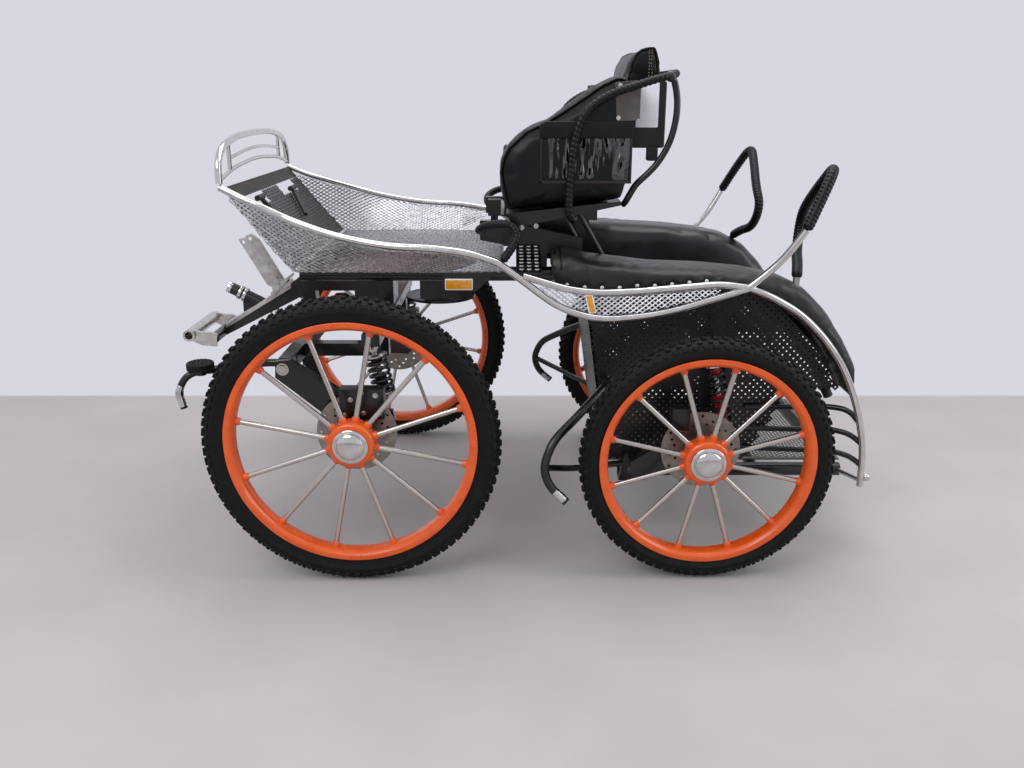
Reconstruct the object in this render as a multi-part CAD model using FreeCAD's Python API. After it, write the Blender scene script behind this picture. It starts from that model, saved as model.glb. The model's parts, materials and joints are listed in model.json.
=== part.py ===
import FreeCAD, Part
import math
import os

# Four-wheeled marathon carriage: a mesh driver's basket in front, a bucket seat on a pedestal,
# and a groom's well between two padded mudguards at the back. Millimetres, +Z up, the horse's end
# towards -X, the carriage's left side towards -Y, floor at Z = 0, origin under the middle.

# Driving dimensions
WHEELBASE = 950.0
FRONT_AXLE_X = -440.0
REAR_AXLE_X = FRONT_AXLE_X + WHEELBASE
FRONT_WHEEL_R = 400.0
REAR_WHEEL_R = 345.0
FRONT_WHEEL_Y = 557.0
REAR_WHEEL_Y = 547.0
FLOOR_Z = 830.0
RAIL_HALF = 500.0
FIT = 0.3
PIN_FIT = 0.05
NUDGE = 1.0

# Wheels
SPOKES = 12
SPOKE_R = 7.0
SOCKET_R = 11.0
SOCKET_DEPTH = 14.0
RIM_BAND = 25.0
RIM_HALF = 30.0
RIM_LIP = 4.0
RIM_WELL = 12.0
HUB_R = 62.0
HUB_HALF = 28.0
SLEEVE_R = 34.0
CAP_R = 47.0
CAP_RISE = 20.0
AXLE_R = 15.0
DISC_R = 110.0
DISC_T = 5.0
DISC_INSET = 80.0
DISC_HOLE_R = 4.0
SLOT_GAP = 7.5
WIRE_R = 4.5
COIL_END = 26.0

# Tubes and plates
RAIL_R = 9.5
SEAT_RAIL_R = 9.0
SEAT_BRACE_R = 8.5
BOARD_T = 3.0
FRAME_R = 20.0
CROSS_R = 16.0
CARRIER_R = 14.0
GRIP_R = 14.0
LOOP_R = 11.0
SHEET = 2.0
ARM_T = 20.0
ARM_INSET = 112.0

# Turntable
TURN_R = 160.0
TURN_Z = 771.0
TURN_T = 14.0
TURN_GAP = 5.0
KINGPIN_R = 18.0

# Pole and draught fittings
CLEVIS_Y = 112.0
CLEVIS_BORE_R = 12.0
POLE_BORE_R = 15.0
SOCKET_BORE = 85.0
DRAUGHT_BORE_R = 6.0

# Body
FOOT_X = -165.0
BOW_X = -345.0
BOW_Z = 1050.0
BASKET_HALF = 395.0
FRAME_HALF = 300.0
WELL_FLOOR_Z = 235.0
SEAT_HALF = 430.0
SEAT_Z = 988.0
SEAT_PAN_Z = SEAT_Z + 122
WING_T = 110.0
FAR_WING_DROP = 42.0
BACK_HALF = 185.0
SEAT_BOARD_HALF = 400.0
BACK_X = 739.0
CASE_HALF = 355.0
CUSHION_INNER = 265.0

V = FreeCAD.Vector
SIDES = (-1, 1)


def front(x):
    """Station x behind the front axle."""
    return FRONT_AXLE_X + x


def rear(x):
    """Station x behind the rear axle, negative ahead of it."""
    return REAR_AXLE_X + x


def box(x0, x1, y0, y1, z0, z1):
    return Part.makeBox(x1 - x0, y1 - y0, z1 - z0, V(x0, y0, z0))


def rod(start, end, radius):
    """A round bar from one point to another."""
    a = V(*start)
    run = V(*end) - a
    return Part.makeCylinder(radius, run.Length, a, run)


def plate(outline, y0, y1):
    """A plate in the XZ plane, from y0 to y1."""
    points = [V(x, y0, z) for x, z in outline]
    points.append(points[0])
    return Part.Face(Part.makePolygon(points)).extrude(V(0, y1 - y0, 0))


def tube(points, radius, share=0.48):
    """A round tube along straight runs joined by tangent arcs as large as the runs allow."""
    route = [V(*point) for point in points]
    edges = []
    start = route[0]
    for before, corner, after in zip(route, route[1:], route[2:]):
        into = (corner - before).normalize()
        out = (after - corner).normalize()
        half = into.getAngle(out) / 2
        reach = share * min((corner - before).Length, (after - corner).Length)
        bend = reach / math.tan(half)
        inward = (out - into).normalize()
        arc_start = corner - into * reach
        arc_end = corner + out * reach
        arc_middle = corner + inward * (bend * (1 / math.cos(half) - 1))
        edges.append(Part.LineSegment(start, arc_start).toShape())
        edges.append(Part.Arc(arc_start, arc_middle, arc_end).toShape())
        start = arc_end
    edges.append(Part.LineSegment(start, route[-1]).toShape())
    section = Part.Circle(route[0], route[1] - route[0], radius).toShape()
    return Part.Wire(edges).makePipeShell([Part.Wire(section)], True, False)


def sheet(sections, thickness):
    """A ruled panel of even thickness; columns: x, low z, low half, high z, high half."""
    wires = []
    for x, low_z, low_half, high_z, high_half in sections:
        corners = [V(x, low_half, low_z), V(x, high_half, high_z)]
        corners += [V(x, high_half - thickness, high_z), V(x, low_half - thickness, low_z)]
        corners.append(corners[0])
        wires.append(Part.makePolygon(corners))
    return Part.makeLoft(wires, True, True)


def other_side(shape):
    return shape.mirror(V(0, 0, 0), V(0, 1, 0))


def pair(*shapes):
    """The shapes and their mirror images on the other side of the carriage."""
    return Part.makeCompound(list(shapes) + [other_side(shape) for shape in shapes])


def fused(first, *rest):
    return first.multiFuse(list(rest)).removeSplitter()


def save(name, shape):
    shape.exportStep("parts/" + name + ".step")


# ---- wheels: built about the Y axis, outer face towards +Y -------------------------------------

def lathe(profile):
    """A solid of revolution about the Y axis; the profile's points are (radius, y)."""
    points = [V(radius, y, 0) for radius, y in profile]
    points.append(points[0])
    return Part.Face(Part.makePolygon(points)).revolve(V(0, 0, 0), V(0, 1, 0), 360)


def radial(angle, inner, outer, radius):
    """A round bar that points away from the wheel's axis."""
    way = V(math.cos(math.radians(angle)), 0, math.sin(math.radians(angle)))
    return Part.makeCylinder(radius, outer - inner, way * inner, way)


def spoke_angles(phase):
    return [phase + 360.0 * i / SPOKES for i in range(SPOKES)]


def tyre(wheel_r, rim_r, half):
    seat = rim_r - RIM_WELL + FIT
    bead = RIM_HALF - RIM_LIP - NUDGE
    shoulder_r = wheel_r - 12.0
    shoulder = half - 8.0
    bulge_r = (rim_r + wheel_r) / 2
    ends = [V(seat, -bead, 0), V(rim_r + NUDGE, -bead, 0), V(shoulder_r, -shoulder, 0)]
    ends += [V(shoulder_r, shoulder, 0), V(rim_r + NUDGE, bead, 0), V(seat, bead, 0)]
    edges = [Part.LineSegment(ends[0], ends[1]).toShape()]
    edges.append(Part.Arc(ends[1], V(bulge_r, -half, 0), ends[2]).toShape())
    edges.append(Part.Arc(ends[2], V(wheel_r, 0, 0), ends[3]).toShape())
    edges.append(Part.Arc(ends[3], V(bulge_r, half, 0), ends[4]).toShape())
    edges.append(Part.LineSegment(ends[4], ends[5]).toShape())
    edges.append(Part.LineSegment(ends[5], ends[0]).toShape())
    return Part.Face(Part.Wire(edges)).revolve(V(0, 0, 0), V(0, 1, 0), 360)


def rim(rim_r, phase):
    """A drop-centre rim with a socket for each spoke."""
    inner = rim_r - RIM_BAND
    bed = rim_r - RIM_WELL
    lip = RIM_HALF - RIM_LIP
    profile = [(inner, -RIM_HALF + 8), (inner + 8, -RIM_HALF), (rim_r, -RIM_HALF), (rim_r, -lip)]
    profile += [(bed, -lip), (bed, lip), (rim_r, lip), (rim_r, RIM_HALF)]
    profile += [(inner + 8, RIM_HALF), (inner, RIM_HALF - 8)]
    sockets = [radial(a, inner - SOCKET_DEPTH, inner + 5, SOCKET_R) for a in spoke_angles(phase)]
    holes = [radial(a, inner - SOCKET_DEPTH - 1, inner, SPOKE_R + FIT) for a in spoke_angles(phase)]
    return fused(lathe(profile), *sockets).cut(Part.makeCompound(holes))


def spokes(rim_r, phase):
    inner = HUB_R + FIT
    outer = rim_r - RIM_BAND - FIT
    return Part.makeCompound([radial(a, inner, outer, SPOKE_R) for a in spoke_angles(phase)])


def hub(phase):
    """The orange hub, with its sockets, and the sleeve that carries the brake disc."""
    disc_face = -DISC_INSET + DISC_T / 2
    profile = [(AXLE_R + PIN_FIT, disc_face), (SLEEVE_R, disc_face), (SLEEVE_R, -HUB_HALF)]
    profile += [(HUB_R - 8, -HUB_HALF), (HUB_R, -HUB_HALF + 8), (HUB_R, HUB_HALF - 8)]
    profile += [(HUB_R - 8, HUB_HALF), (AXLE_R + PIN_FIT, HUB_HALF)]
    outer = HUB_R + SOCKET_DEPTH
    sockets = [radial(a, HUB_R - 12, outer, SOCKET_R) for a in spoke_angles(phase)]
    holes = [radial(a, HUB_R, outer + 1, SPOKE_R + FIT) for a in spoke_angles(phase)]
    return fused(lathe(profile), *sockets).cut(Part.makeCompound(holes))


def hub_cap():
    profile = [(0, HUB_HALF), (CAP_R, HUB_HALF), (CAP_R, HUB_HALF + 8), (CAP_R - 5, HUB_HALF + 13)]
    profile += [(CAP_R - 14, HUB_HALF + CAP_RISE - 3), (CAP_R - 18, HUB_HALF + CAP_RISE)]
    profile.append((0, HUB_HALF + CAP_RISE))
    return lathe(profile)


def brake_disc():
    """A disc on the sleeve's end, drilled in three rows."""
    y = -DISC_INSET - DISC_T / 2
    disc = Part.makeCylinder(DISC_R, DISC_T, V(0, y, 0), V(0, 1, 0))
    bore = Part.makeCylinder(AXLE_R + 2, DISC_T, V(0, y, 0), V(0, 1, 0))
    holes = []
    for row, radius in enumerate((DISC_R - 12, DISC_R - 24, DISC_R - 36)):
        for i in range(SPOKES):
            angle = math.radians(30.0 * i + 10.0 * row)
            centre = V(radius * math.cos(angle), y - 1, radius * math.sin(angle))
            holes.append(Part.makeCylinder(DISC_HOLE_R, DISC_T + 2, centre, V(0, 1, 0)))
    return disc.cut(Part.makeCompound([bore] + holes))


# columns: name, side, axle x, wheel radius, rim radius, tyre half width, centre |y|, spoke phase
WHEELS = (
    ("front_left", -1, FRONT_AXLE_X, FRONT_WHEEL_R, FRONT_WHEEL_R - 64, 32, FRONT_WHEEL_Y, 18.6),
    ("front_right", 1, FRONT_AXLE_X, FRONT_WHEEL_R, FRONT_WHEEL_R - 64, 32, FRONT_WHEEL_Y, 18.6),
    ("rear_left", -1, REAR_AXLE_X, REAR_WHEEL_R, REAR_WHEEL_R - 54, 31, REAR_WHEEL_Y, 16.5),
    ("rear_right", 1, REAR_AXLE_X, REAR_WHEEL_R, REAR_WHEEL_R - 54, 31, REAR_WHEEL_Y, 16.5),
)


def wheels():
    for name, side, x, wheel_r, rim_r, half, y, phase in WHEELS:
        pieces = {"tyre": tyre(wheel_r, rim_r, half)}
        pieces["rim_and_hub"] = Part.makeCompound([rim(rim_r, phase), hub(phase)])
        pieces["spokes"] = spokes(rim_r, phase)
        pieces["hub_cap"] = hub_cap()
        pieces["brake_disc"] = brake_disc()
        for piece, shape in pieces.items():
            placed = shape if side > 0 else other_side(shape)
            placed.translate(V(x, side * y, wheel_r))
            save(piece + "_" + name, placed)


def stub_axle(x, wheel_y, z):
    """The stub that a wheel turns on, from the arm to just inside the hub cap."""
    inner = wheel_y - ARM_INSET
    shoulder_end = wheel_y - DISC_INSET - DISC_T / 2 - 2
    shoulder = rod((x, inner, z), (x, shoulder_end, z), AXLE_R + 8)
    return fused(rod((x, inner, z), (x, wheel_y + HUB_HALF - 2, z), AXLE_R), shoulder)


def caliper(x, wheel_y, z, reach):
    """A brake caliper that straddles the disc; reach: x from, x to, rise from, rise to."""
    disc_y = wheel_y - DISC_INSET
    inner = wheel_y - ARM_INSET
    x0, x1, low, high = reach
    body = box(x + x0, x + x1, disc_y - 20, disc_y + 20, z + low, z + high)
    bracket = box(x + x0, x + x1, inner, disc_y - 12, z + AXLE_R + 10, z + high - 24)
    slot = Part.makeCylinder(DISC_R + 5, 2 * SLOT_GAP, V(x, disc_y - SLOT_GAP, z), V(0, 1, 0))
    return fused(body, bracket).cut(slot)


def coil_over(top, bottom, coil_r, turns):
    """A damper with its coil spring: body, rod and eyes, and the coil round them."""
    a = V(*top)
    b = V(*bottom)
    way = (b - a).normalize()
    middle = a + (b - a) * 0.5
    eyes = [rod((p.x, p.y - 14, p.z), (p.x, p.y + 14, p.z), 13) for p in (a, b)]
    body = Part.makeCylinder(17, (b - middle).Length - 12, middle, way)
    shaft = Part.makeCylinder(8, (middle - a).Length, a, way)
    start = a + way * COIL_END
    length = (b - a).Length - 2 * COIL_END
    seats = [Part.makeCylinder(coil_r + WIRE_R, 3, start + way * (length + FIT + WIRE_R), way)]
    seats.append(Part.makeCylinder(coil_r + WIRE_R, 3, start - way * (3 + FIT + WIRE_R), way))
    helix = Part.makeHelix(length / turns, length, coil_r)
    wire = Part.Circle(V(coil_r, 0, 0), V(0, 1, length / turns / (2 * math.pi * coil_r)), WIRE_R)
    coil = Part.Wire(helix.Edges).makePipeShell([Part.Wire([wire.toShape()])], True, True)
    coil.Placement = FreeCAD.Placement(start, FreeCAD.Rotation(V(0, 0, 1), way))
    return Part.makeCompound([fused(eyes[0], eyes[1], body, shaft, *seats), coil])


# ---- front carriage: everything that steers ----------------------------------------------------

FRONT_Z = FRONT_WHEEL_R
FRONT_ARM_Y = FRONT_WHEEL_Y - ARM_INSET - ARM_T
PIVOT_X = front(-200)
PIVOT_Z = FRONT_Z + 170
CROSS_Z = 640.0
FRONT_DAMPER_TOP = (front(40), FRONT_ARM_Y - 48, CROSS_Z - 26)
FRONT_DAMPER_FOOT = (front(70), FRONT_ARM_Y - 48, FRONT_Z + 62)


def turntable_lower():
    ring = rod((front(0), 0, TURN_Z - TURN_T), (front(0), 0, TURN_Z), TURN_R)
    return ring.cut(rod((front(0), 0, TURN_Z - 20), (front(0), 0, TURN_Z + 1), KINGPIN_R + PIN_FIT))


def front_frame():
    """The welded frame that hangs from the turntable and carries the arms."""
    neck = box(front(-60), front(60), -60, 60, CROSS_Z - 20, TURN_Z - TURN_T)
    bore = rod((front(0), 0, CROSS_Z - 20), (front(0), 0, TURN_Z), KINGPIN_R + PIN_FIT)
    upper = box(front(15), front(65), -FRONT_ARM_Y + 4, FRONT_ARM_Y - 4, CROSS_Z - 13, CROSS_Z + 20)
    lower = box(PIVOT_X - 20, PIVOT_X + 20, -350, 350, PIVOT_Z - 20, PIVOT_Z + 20)
    pieces = [upper, lower]
    for side in SIDES:
        pieces.append(box(PIVOT_X - 18, PIVOT_X + 18, side * 380 - 30, side * 380 + 30,
                          PIVOT_Z - 22, PIVOT_Z + 22))
        beam = [(PIVOT_X, PIVOT_Z - 18), (front(65), PIVOT_Z - 18), (front(65), CROSS_Z)]
        beam += [(front(20), CROSS_Z), (front(20), PIVOT_Z + 20), (PIVOT_X, PIVOT_Z + 20)]
        pieces.append(plate(beam, side * 230 - 20, side * 230 + 20))
        ear = plate([(front(20), CROSS_Z), (front(62), CROSS_Z), (front(54), CROSS_Z - 40),
                     (front(28), CROSS_Z - 40)], side * (FRONT_ARM_Y - 74), side * (FRONT_ARM_Y - 64))
        pieces.append(ear)
    return fused(neck, *pieces).cut(bore)


def front_arms():
    """Leading arms from the pivot blocks down to the stub axles."""
    outline = [(PIVOT_X - 18, PIVOT_Z + 22), (PIVOT_X + 22, PIVOT_Z + 26), (front(36), FRONT_Z + 56)]
    outline += [(front(96), FRONT_Z + 50), (front(102), FRONT_Z + 24), (front(40), FRONT_Z - 34)]
    outline += [(front(-40), FRONT_Z - 30), (front(-70), FRONT_Z + 20), (PIVOT_X - 22, PIVOT_Z - 24)]
    arm = plate(outline, FRONT_ARM_Y, FRONT_ARM_Y + ARM_T)
    pin = rod((PIVOT_X, 410 + FIT, PIVOT_Z), (PIVOT_X, FRONT_ARM_Y, PIVOT_Z), 14)
    x, y, z = FRONT_DAMPER_FOOT
    foot_pin = rod((x, y + 14 + FIT, z), (x, FRONT_ARM_Y + 2, z), 9)
    return pair(fused(arm, pin, foot_pin))


def front_hub_carriers():
    """The stub axles of the front wheels, with the brake calipers."""
    stub = stub_axle(front(0), FRONT_WHEEL_Y, FRONT_Z)
    return pair(stub, caliper(front(0), FRONT_WHEEL_Y, FRONT_Z, (-40, 80, 44, 129)))


def front_dampers():
    return pair(coil_over(FRONT_DAMPER_TOP, FRONT_DAMPER_FOOT, 28, 6))


STEP = (front(-403), 500.0, 604.0)


def front_steps():
    """Round step pads ahead of the front wheels, with the arms that carry them."""
    x, y, z = STEP
    pad = rod((x, y, z - 14), (x, y, z), 34)
    arm = tube([(PIVOT_X - 18 - FIT, 380, PIVOT_Z), (front(-270), 380, PIVOT_Z),
                (front(-345), 465, 578), (x, y, z - 20)], 11)
    hook = tube([(x, y, z - 20), (front(-440), 512, 572), (front(-463), 518, 531),
                 (front(-451), 520, 484)], RAIL_R)
    hub_ = rod((x, y, z - 32), (x, y, z - 10), 14)
    return pair(fused(arm, pad, hub_, hook))


def beam_top(x):
    """Top of the inclined beam, x behind the front axle."""
    return 591 + 0.598 * (x + 481)


def inclined_beam():
    outline = [(front(-501), 546), (front(-481), beam_top(-481)), (front(-262), beam_top(-262))]
    outline += [(front(-220), TURN_Z - TURN_T), (front(-60), TURN_Z - TURN_T), (front(-60), 700)]
    outline += [(front(-200), 700), (front(-236), 680)]
    return plate(outline, -28, 28)


def pole_carrier():
    """The inclined beam that runs forward from under the turntable, and its strut."""
    bar = rod((front(-491), CLEVIS_Y, 568), (front(-491), -CLEVIS_Y, 568), 16)
    strut = plate([(PIVOT_X - 20, PIVOT_Z + 20), (PIVOT_X + 20, PIVOT_Z + 20),
                   (front(-190), 705), (front(-230), 690)], -24, 24)
    return fused(inclined_beam(), bar, strut)


def pole_clevis():
    """Two stainless ears with a cross tube that takes the shaft pin."""
    ear = plate([(front(-575), 588), (front(-562), 600), (front(-530), 592), (front(-500), 590),
                 (front(-478), 584), (front(-482), 545), (front(-526), 549), (front(-572), 570)],
                CLEVIS_Y, CLEVIS_Y + 10)
    nose = (front(-562), 581)
    cross = rod((nose[0], -CLEVIS_Y - 18, nose[1]), (nose[0], CLEVIS_Y + 18, nose[1]), 18)
    bore = rod((nose[0], -CLEVIS_Y - 19, nose[1]), (nose[0], CLEVIS_Y + 19, nose[1]), CLEVIS_BORE_R)
    return fused(ear, other_side(ear), cross).cut(bore)


def pole_socket():
    """The short tube above the beam that takes the pole, with two clamp collars."""
    mouth = V(front(-466), 0, 708)
    way = V(front(-330), 0, 637) - mouth
    pieces = [Part.makeCylinder(22, 9, mouth + way * share, way) for share in (0.24, 0.34)]
    pieces.append(plate([(front(-424), beam_top(-424)), (front(-380), beam_top(-380)),
                         (front(-380), 664), (front(-424), 686)], -6, 6))
    shell = fused(Part.makeCylinder(POLE_BORE_R + 3, way.Length, mouth, way), *pieces)
    bore = Part.makeCylinder(POLE_BORE_R, SOCKET_BORE, mouth, way)
    return shell.cut(bore).cut(inclined_beam())


def draught_plate():
    """The leaning stainless channel for the swingletree, with a bent tab, on its post."""
    outline = [(front(-410), 862), (front(-390), 868), (front(-366), 850), (front(-294), 718)]
    outline += [(front(-300), 702), (front(-334), 722)]
    ears = [plate(outline, side * 36 - 4, side * 36 + 4) for side in SIDES]
    tab = plate([(front(-302), 722), (front(-268), 746), (front(-264), 740), (front(-296), 708)],
                -36, 36)
    web = plate([(front(-334), 722), (front(-300), 702), (front(-296), 710), (front(-331), 731)],
                -36, 36)
    post = plate([(front(-320), beam_top(-320) + 4), (front(-292), beam_top(-292) + 4),
                  (front(-292), 712), (front(-320), 730)], -36, 36)
    foot = plate([(front(-328), beam_top(-328)), (front(-264), beam_top(-264)),
                  (front(-270), beam_top(-270) + 12), (front(-328), beam_top(-328) + 12)], -26, 26)
    pin_hole = rod((front(-396), -50, 853), (front(-396), 50, 853), DRAUGHT_BORE_R)
    return fused(ears[0], ears[1], tab, web, post, foot).cut(pin_hole)


# ---- chassis: everything that doesn't steer ----------------------------------------------------

def wall_x(z):
    """Front of the groom's well, which leans back as it goes down."""
    return front(640 + 43 * (674 - z) / 309)


def turntable_upper():
    """The fixed ring with the kingpin, and the hanger and shelf behind it."""
    top = TURN_Z + TURN_GAP
    ring_top = top + TURN_T
    ring = rod((front(0), 0, top), (front(0), 0, ring_top), TURN_R)
    pin = rod((front(0), 0, CROSS_Z - 15), (front(0), 0, ring_top), KINGPIN_R)
    outline = [(front(90), top), (front(90), ring_top), (front(335), ring_top), (front(308), 690)]
    outline += [(front(190), 676), (front(146), 690), (front(146), top)]
    hangers = [plate(outline, side * 90 - 6, side * 90 + 6) for side in SIDES]
    shelf = rod((front(200), 0, 676), (front(200), 0, 684), 108)
    return fused(ring, pin, shelf, *hangers)


FRAME_Z = FLOOR_Z - 4 - FRAME_R
LOW_FRAME_Z = WELL_FLOOR_Z - FIT - FRAME_R
TURN_TOP = TURN_Z + TURN_GAP + TURN_T
WALL_T = 3.0


def wall_tube_x(z):
    """Centre of the frame tube that stands just behind the well's front wall."""
    return wall_x(z) + WALL_T + FIT + FRAME_R + NUDGE


# The carrier under the mudguard; columns: x behind the rear axle, z
UPPER_CARRIER = ((-160, 770), (110, 752), (240, 676), (340, 560), (400, 446))


def upper_carrier(radius):
    """One side's lighter tube under the mudguard."""
    route = [(front(560), FRAME_HALF, FRAME_Z)]
    route += [(rear(x), FRAME_HALF, z) for x, z in UPPER_CARRIER]
    return tube(route, radius)


def main_frame():
    """Two bent side tubes and the cross members that join them."""
    route = [(front(FOOT_X), FRAME_HALF, FRAME_Z), (front(610), FRAME_HALF, FRAME_Z),
             (wall_tube_x(745), FRAME_HALF, 745),
             (wall_tube_x(LOW_FRAME_Z), FRAME_HALF, LOW_FRAME_Z),
             (rear(455), FRAME_HALF, LOW_FRAME_Z)]
    side = tube(route, FRAME_R, 0.25)
    pieces = [other_side(side)]
    for x, z in ((front(-150), FRAME_Z), (front(330), FRAME_Z), (wall_tube_x(640), 640)):
        pieces.append(rod((x, -FRAME_HALF, z), (x, FRAME_HALF, z), CROSS_R))
    cross_z = WELL_FLOOR_Z - FIT - CROSS_R
    for x in (rear(-150), rear(200), rear(440)):
        pieces.append(rod((x, -FRAME_HALF, cross_z), (x, FRAME_HALF, cross_z), CROSS_R))
    deck = FLOOR_Z - 4
    for x, low in ((front(-110), TURN_TOP), (front(70), TURN_TOP), (front(484), FRAME_Z),
                   (front(570), FRAME_Z)):
        pieces.append(box(x, x + 40, -FRAME_HALF, FRAME_HALF, low, deck))
    upright = rod((rear(40), FRAME_HALF, LOW_FRAME_Z), (rear(40), FRAME_HALF, 752), CARRIER_R)
    for carrier in (upper_carrier(CARRIER_R), upright, rear_brackets()):
        pieces += [carrier, other_side(carrier)]
    return fused(side, *pieces)


def basket_floor():
    return box(front(FOOT_X) + 4, front(400), -BASKET_HALF, BASKET_HALF, FLOOR_Z - 4, FLOOR_Z)


# The polished rail along the top of the basket; columns: x behind the front axle, |y|, z
BASKET_RAIL = ((BOW_X, 378, BOW_Z), (-290, 388, 1024), (-220, 415, 1000), (-150, 452, 975),
               (-40, 485, 941), (100, RAIL_HALF, 914), (230, RAIL_HALF, 909), (320, RAIL_HALF, 896),
               (387, RAIL_HALF, 874), (404, RAIL_HALF - 1, 862))

# Side panel of the basket; columns: x, low z, low |y|, high z, high |y|
BASKET_PANEL = ((-326, 1018, 377, 1028, 379), (-290, 980, 381, 1013, 386), (-220, 891, 388, 989, 413),
                (-165, FLOOR_Z, BASKET_HALF, 969, 443), (-40, FLOOR_Z, 398, 931, 483),
                (100, FLOOR_Z, 400, 903, 498), (249, FLOOR_Z, 400, 897, 498),
                (300, 850, 440, 889, 498), (335, 872, 480, 882, 498))


# Panel between the side rails, the same columns
BOAT_PANEL = ((500, 800, 500, 814, 500), (551, 762, 501, 799, 501), (657, 733, 501, 784, 501))
BOAT_PANEL_REAR = ((-190, 738, 495, 786, 491), (-59, 764, 483, 795, 481), (21, 786, 475, 801, 473))


def basket_rail(radius):
    return tube([(front(x), y, z) for x, y, z in BASKET_RAIL], radius)


def basket_rails():
    return pair(basket_rail(RAIL_R))


def mesh_panels():
    """The mesh sides of the basket, and the mesh between the two side rails behind it."""
    basket = [(front(x), low_z, low, high_z, high) for x, low_z, low, high_z, high in BASKET_PANEL]
    boat = [(front(x), low_z, low, high_z, high) for x, low_z, low, high_z, high in BOAT_PANEL]
    boat += [(rear(x), low_z, low, high_z, high) for x, low_z, low, high_z, high in BOAT_PANEL_REAR]
    return pair(sheet(basket, SHEET).cut(basket_rail(RAIL_R + FIT)),
                sheet(boat, SHEET).cut(side_rail(RAIL_R + FIT)))


def footboard():
    """The sloping board for the driver's feet, with two windows near the top."""
    corners = [V(front(BOW_X), -374, BOW_Z), V(front(BOW_X), 374, BOW_Z)]
    corners += [V(front(FOOT_X), BASKET_HALF - 3, FLOOR_Z), V(front(FOOT_X), 3 - BASKET_HALF, FLOOR_Z)]
    corners.append(corners[0])
    slope = V(BOW_Z - FLOOR_Z, 0, FOOT_X - BOW_X).normalize()
    board = Part.Face(Part.makePolygon(corners)).extrude(slope * BOARD_T)
    windows = []
    for side in SIDES:
        windows.append(box(front(-316), front(-295), side * 180 - 90, side * 180 + 90, 900, 1100))
    rail = basket_rail(RAIL_R + FIT)
    return board.cut(Part.makeCompound(windows)).cut(rail).cut(other_side(rail))


def on_board(share, y, lift):
    """A point above the footboard, a share of the way down it from the bow."""
    x = front(BOW_X + share * (FOOT_X - BOW_X))
    z = BOW_Z + share * (FLOOR_Z - BOW_Z)
    rise = V(BOW_Z - FLOOR_Z, 0, FOOT_X - BOW_X).normalize() * (BOARD_T + lift)
    return (x + rise.x, y, z + rise.z)


# The pedals that lie on the footboard; columns: head share, head y, foot share, foot y
PEDALS = ((0.24, -184, 0.42, -176), (0.28, 178, 0.61, 84))
PEDAL_R = 7.0
SEAT_BEAM_TOP = SEAT_Z - 33


def brake_controls():
    """The two pedals on the footboard, and the parking brake's box on the seat's beam."""
    stub = box(front(368), front(388), -308, -292, SEAT_BEAM_TOP + FIT, SEAT_BEAM_TOP + 16)
    case = box(front(361), front(396), -322, -280, SEAT_BEAM_TOP + 14, SEAT_BEAM_TOP + 57)
    pieces = [fused(stub, case)]
    for head_share, head_y, foot_share, foot_y in PEDALS:
        head = on_board(head_share, head_y, PEDAL_R + 2)
        arm = rod(on_board(foot_share, foot_y, PEDAL_R + FIT), head, PEDAL_R)
        tread = rod((head[0], head_y - 32, head[2]), (head[0], head_y + 32, head[2]), PEDAL_R + 1)
        pieces.append(fused(arm, tread).cut(footboard()))
    return Part.makeCompound(pieces)


# The hoop over the bow and its lower and upper bars; columns: |y|, rise above the bow
HOOP = ((378, RAIL_R), (375, 62), (325, 102), (200, 122))
HOOP_BAR = ((377, 16), (250, 40))
HOOP_UPPER_BAR = ((270, 68), (90, 84))
HOOP_POST_Y = 270.0


def across(half, *middle):
    """A member's route over the bow: one side's points, the middle's and the other side's."""
    route = list(half) + list(middle) + [(-y, rise) for y, rise in reversed(half)]
    return [(front(BOW_X), y, BOW_Z + rise) for y, rise in route]


def rein_rail():
    """The hoop over the bow that keeps the reins clear of the driver's feet."""
    hoop = tube(across(HOOP, (0, 128)), RAIL_R)
    bars = [tube(across(HOOP_BAR, (0, 56)), 6), tube(across(HOOP_UPPER_BAR), 5)]
    x = front(BOW_X)
    for y in (-HOOP_POST_Y, HOOP_POST_Y):
        bars.append(rod((x, y, BOW_Z + 36), (x, y, BOW_Z + 110), 6))
    return fused(hoop, *bars)


LOWER_RAIL = ((404, RAIL_HALF - 1, 862), (424, RAIL_HALF - 2, 848), (551, RAIL_HALF, 752),
              (657, RAIL_HALF, 722))
LOWER_RAIL_REAR = ((-135, 490, 733), (21, 474, 776), (98, 462, 797))
UPPER_RAIL = ((455, RAIL_HALF, 838), (576, RAIL_HALF, 802), (654, RAIL_HALF, 794))
UPPER_RAIL_REAR = ((-190, 490, 796), (-59, 480, 805), (21, 472, 811), (98, 462, 799))


def side_rail(radius):
    """One side's two rails, which meet over the rear axle."""
    lower = [(front(x), y, z) for x, y, z in LOWER_RAIL]
    lower += [(rear(x), y, z) for x, y, z in LOWER_RAIL_REAR]
    upper = [(front(x), y, z) for x, y, z in UPPER_RAIL]
    upper += [(rear(x), y, z) for x, y, z in UPPER_RAIL_REAR]
    return fused(tube(lower, radius), tube(upper, radius))


def side_rails():
    return pair(side_rail(RAIL_R))


REAR_RAIL = ((98, 462, 799), (158, 460, 777), (245, 450, 729), (322, 440, 657), (391, 430, 564),
             (444, 420, 444), (477, 410, 319), (484, 400, 205))


def rear_rail(radius):
    return tube([(rear(x), y, z) for x, y, z in REAR_RAIL], radius)


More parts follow.
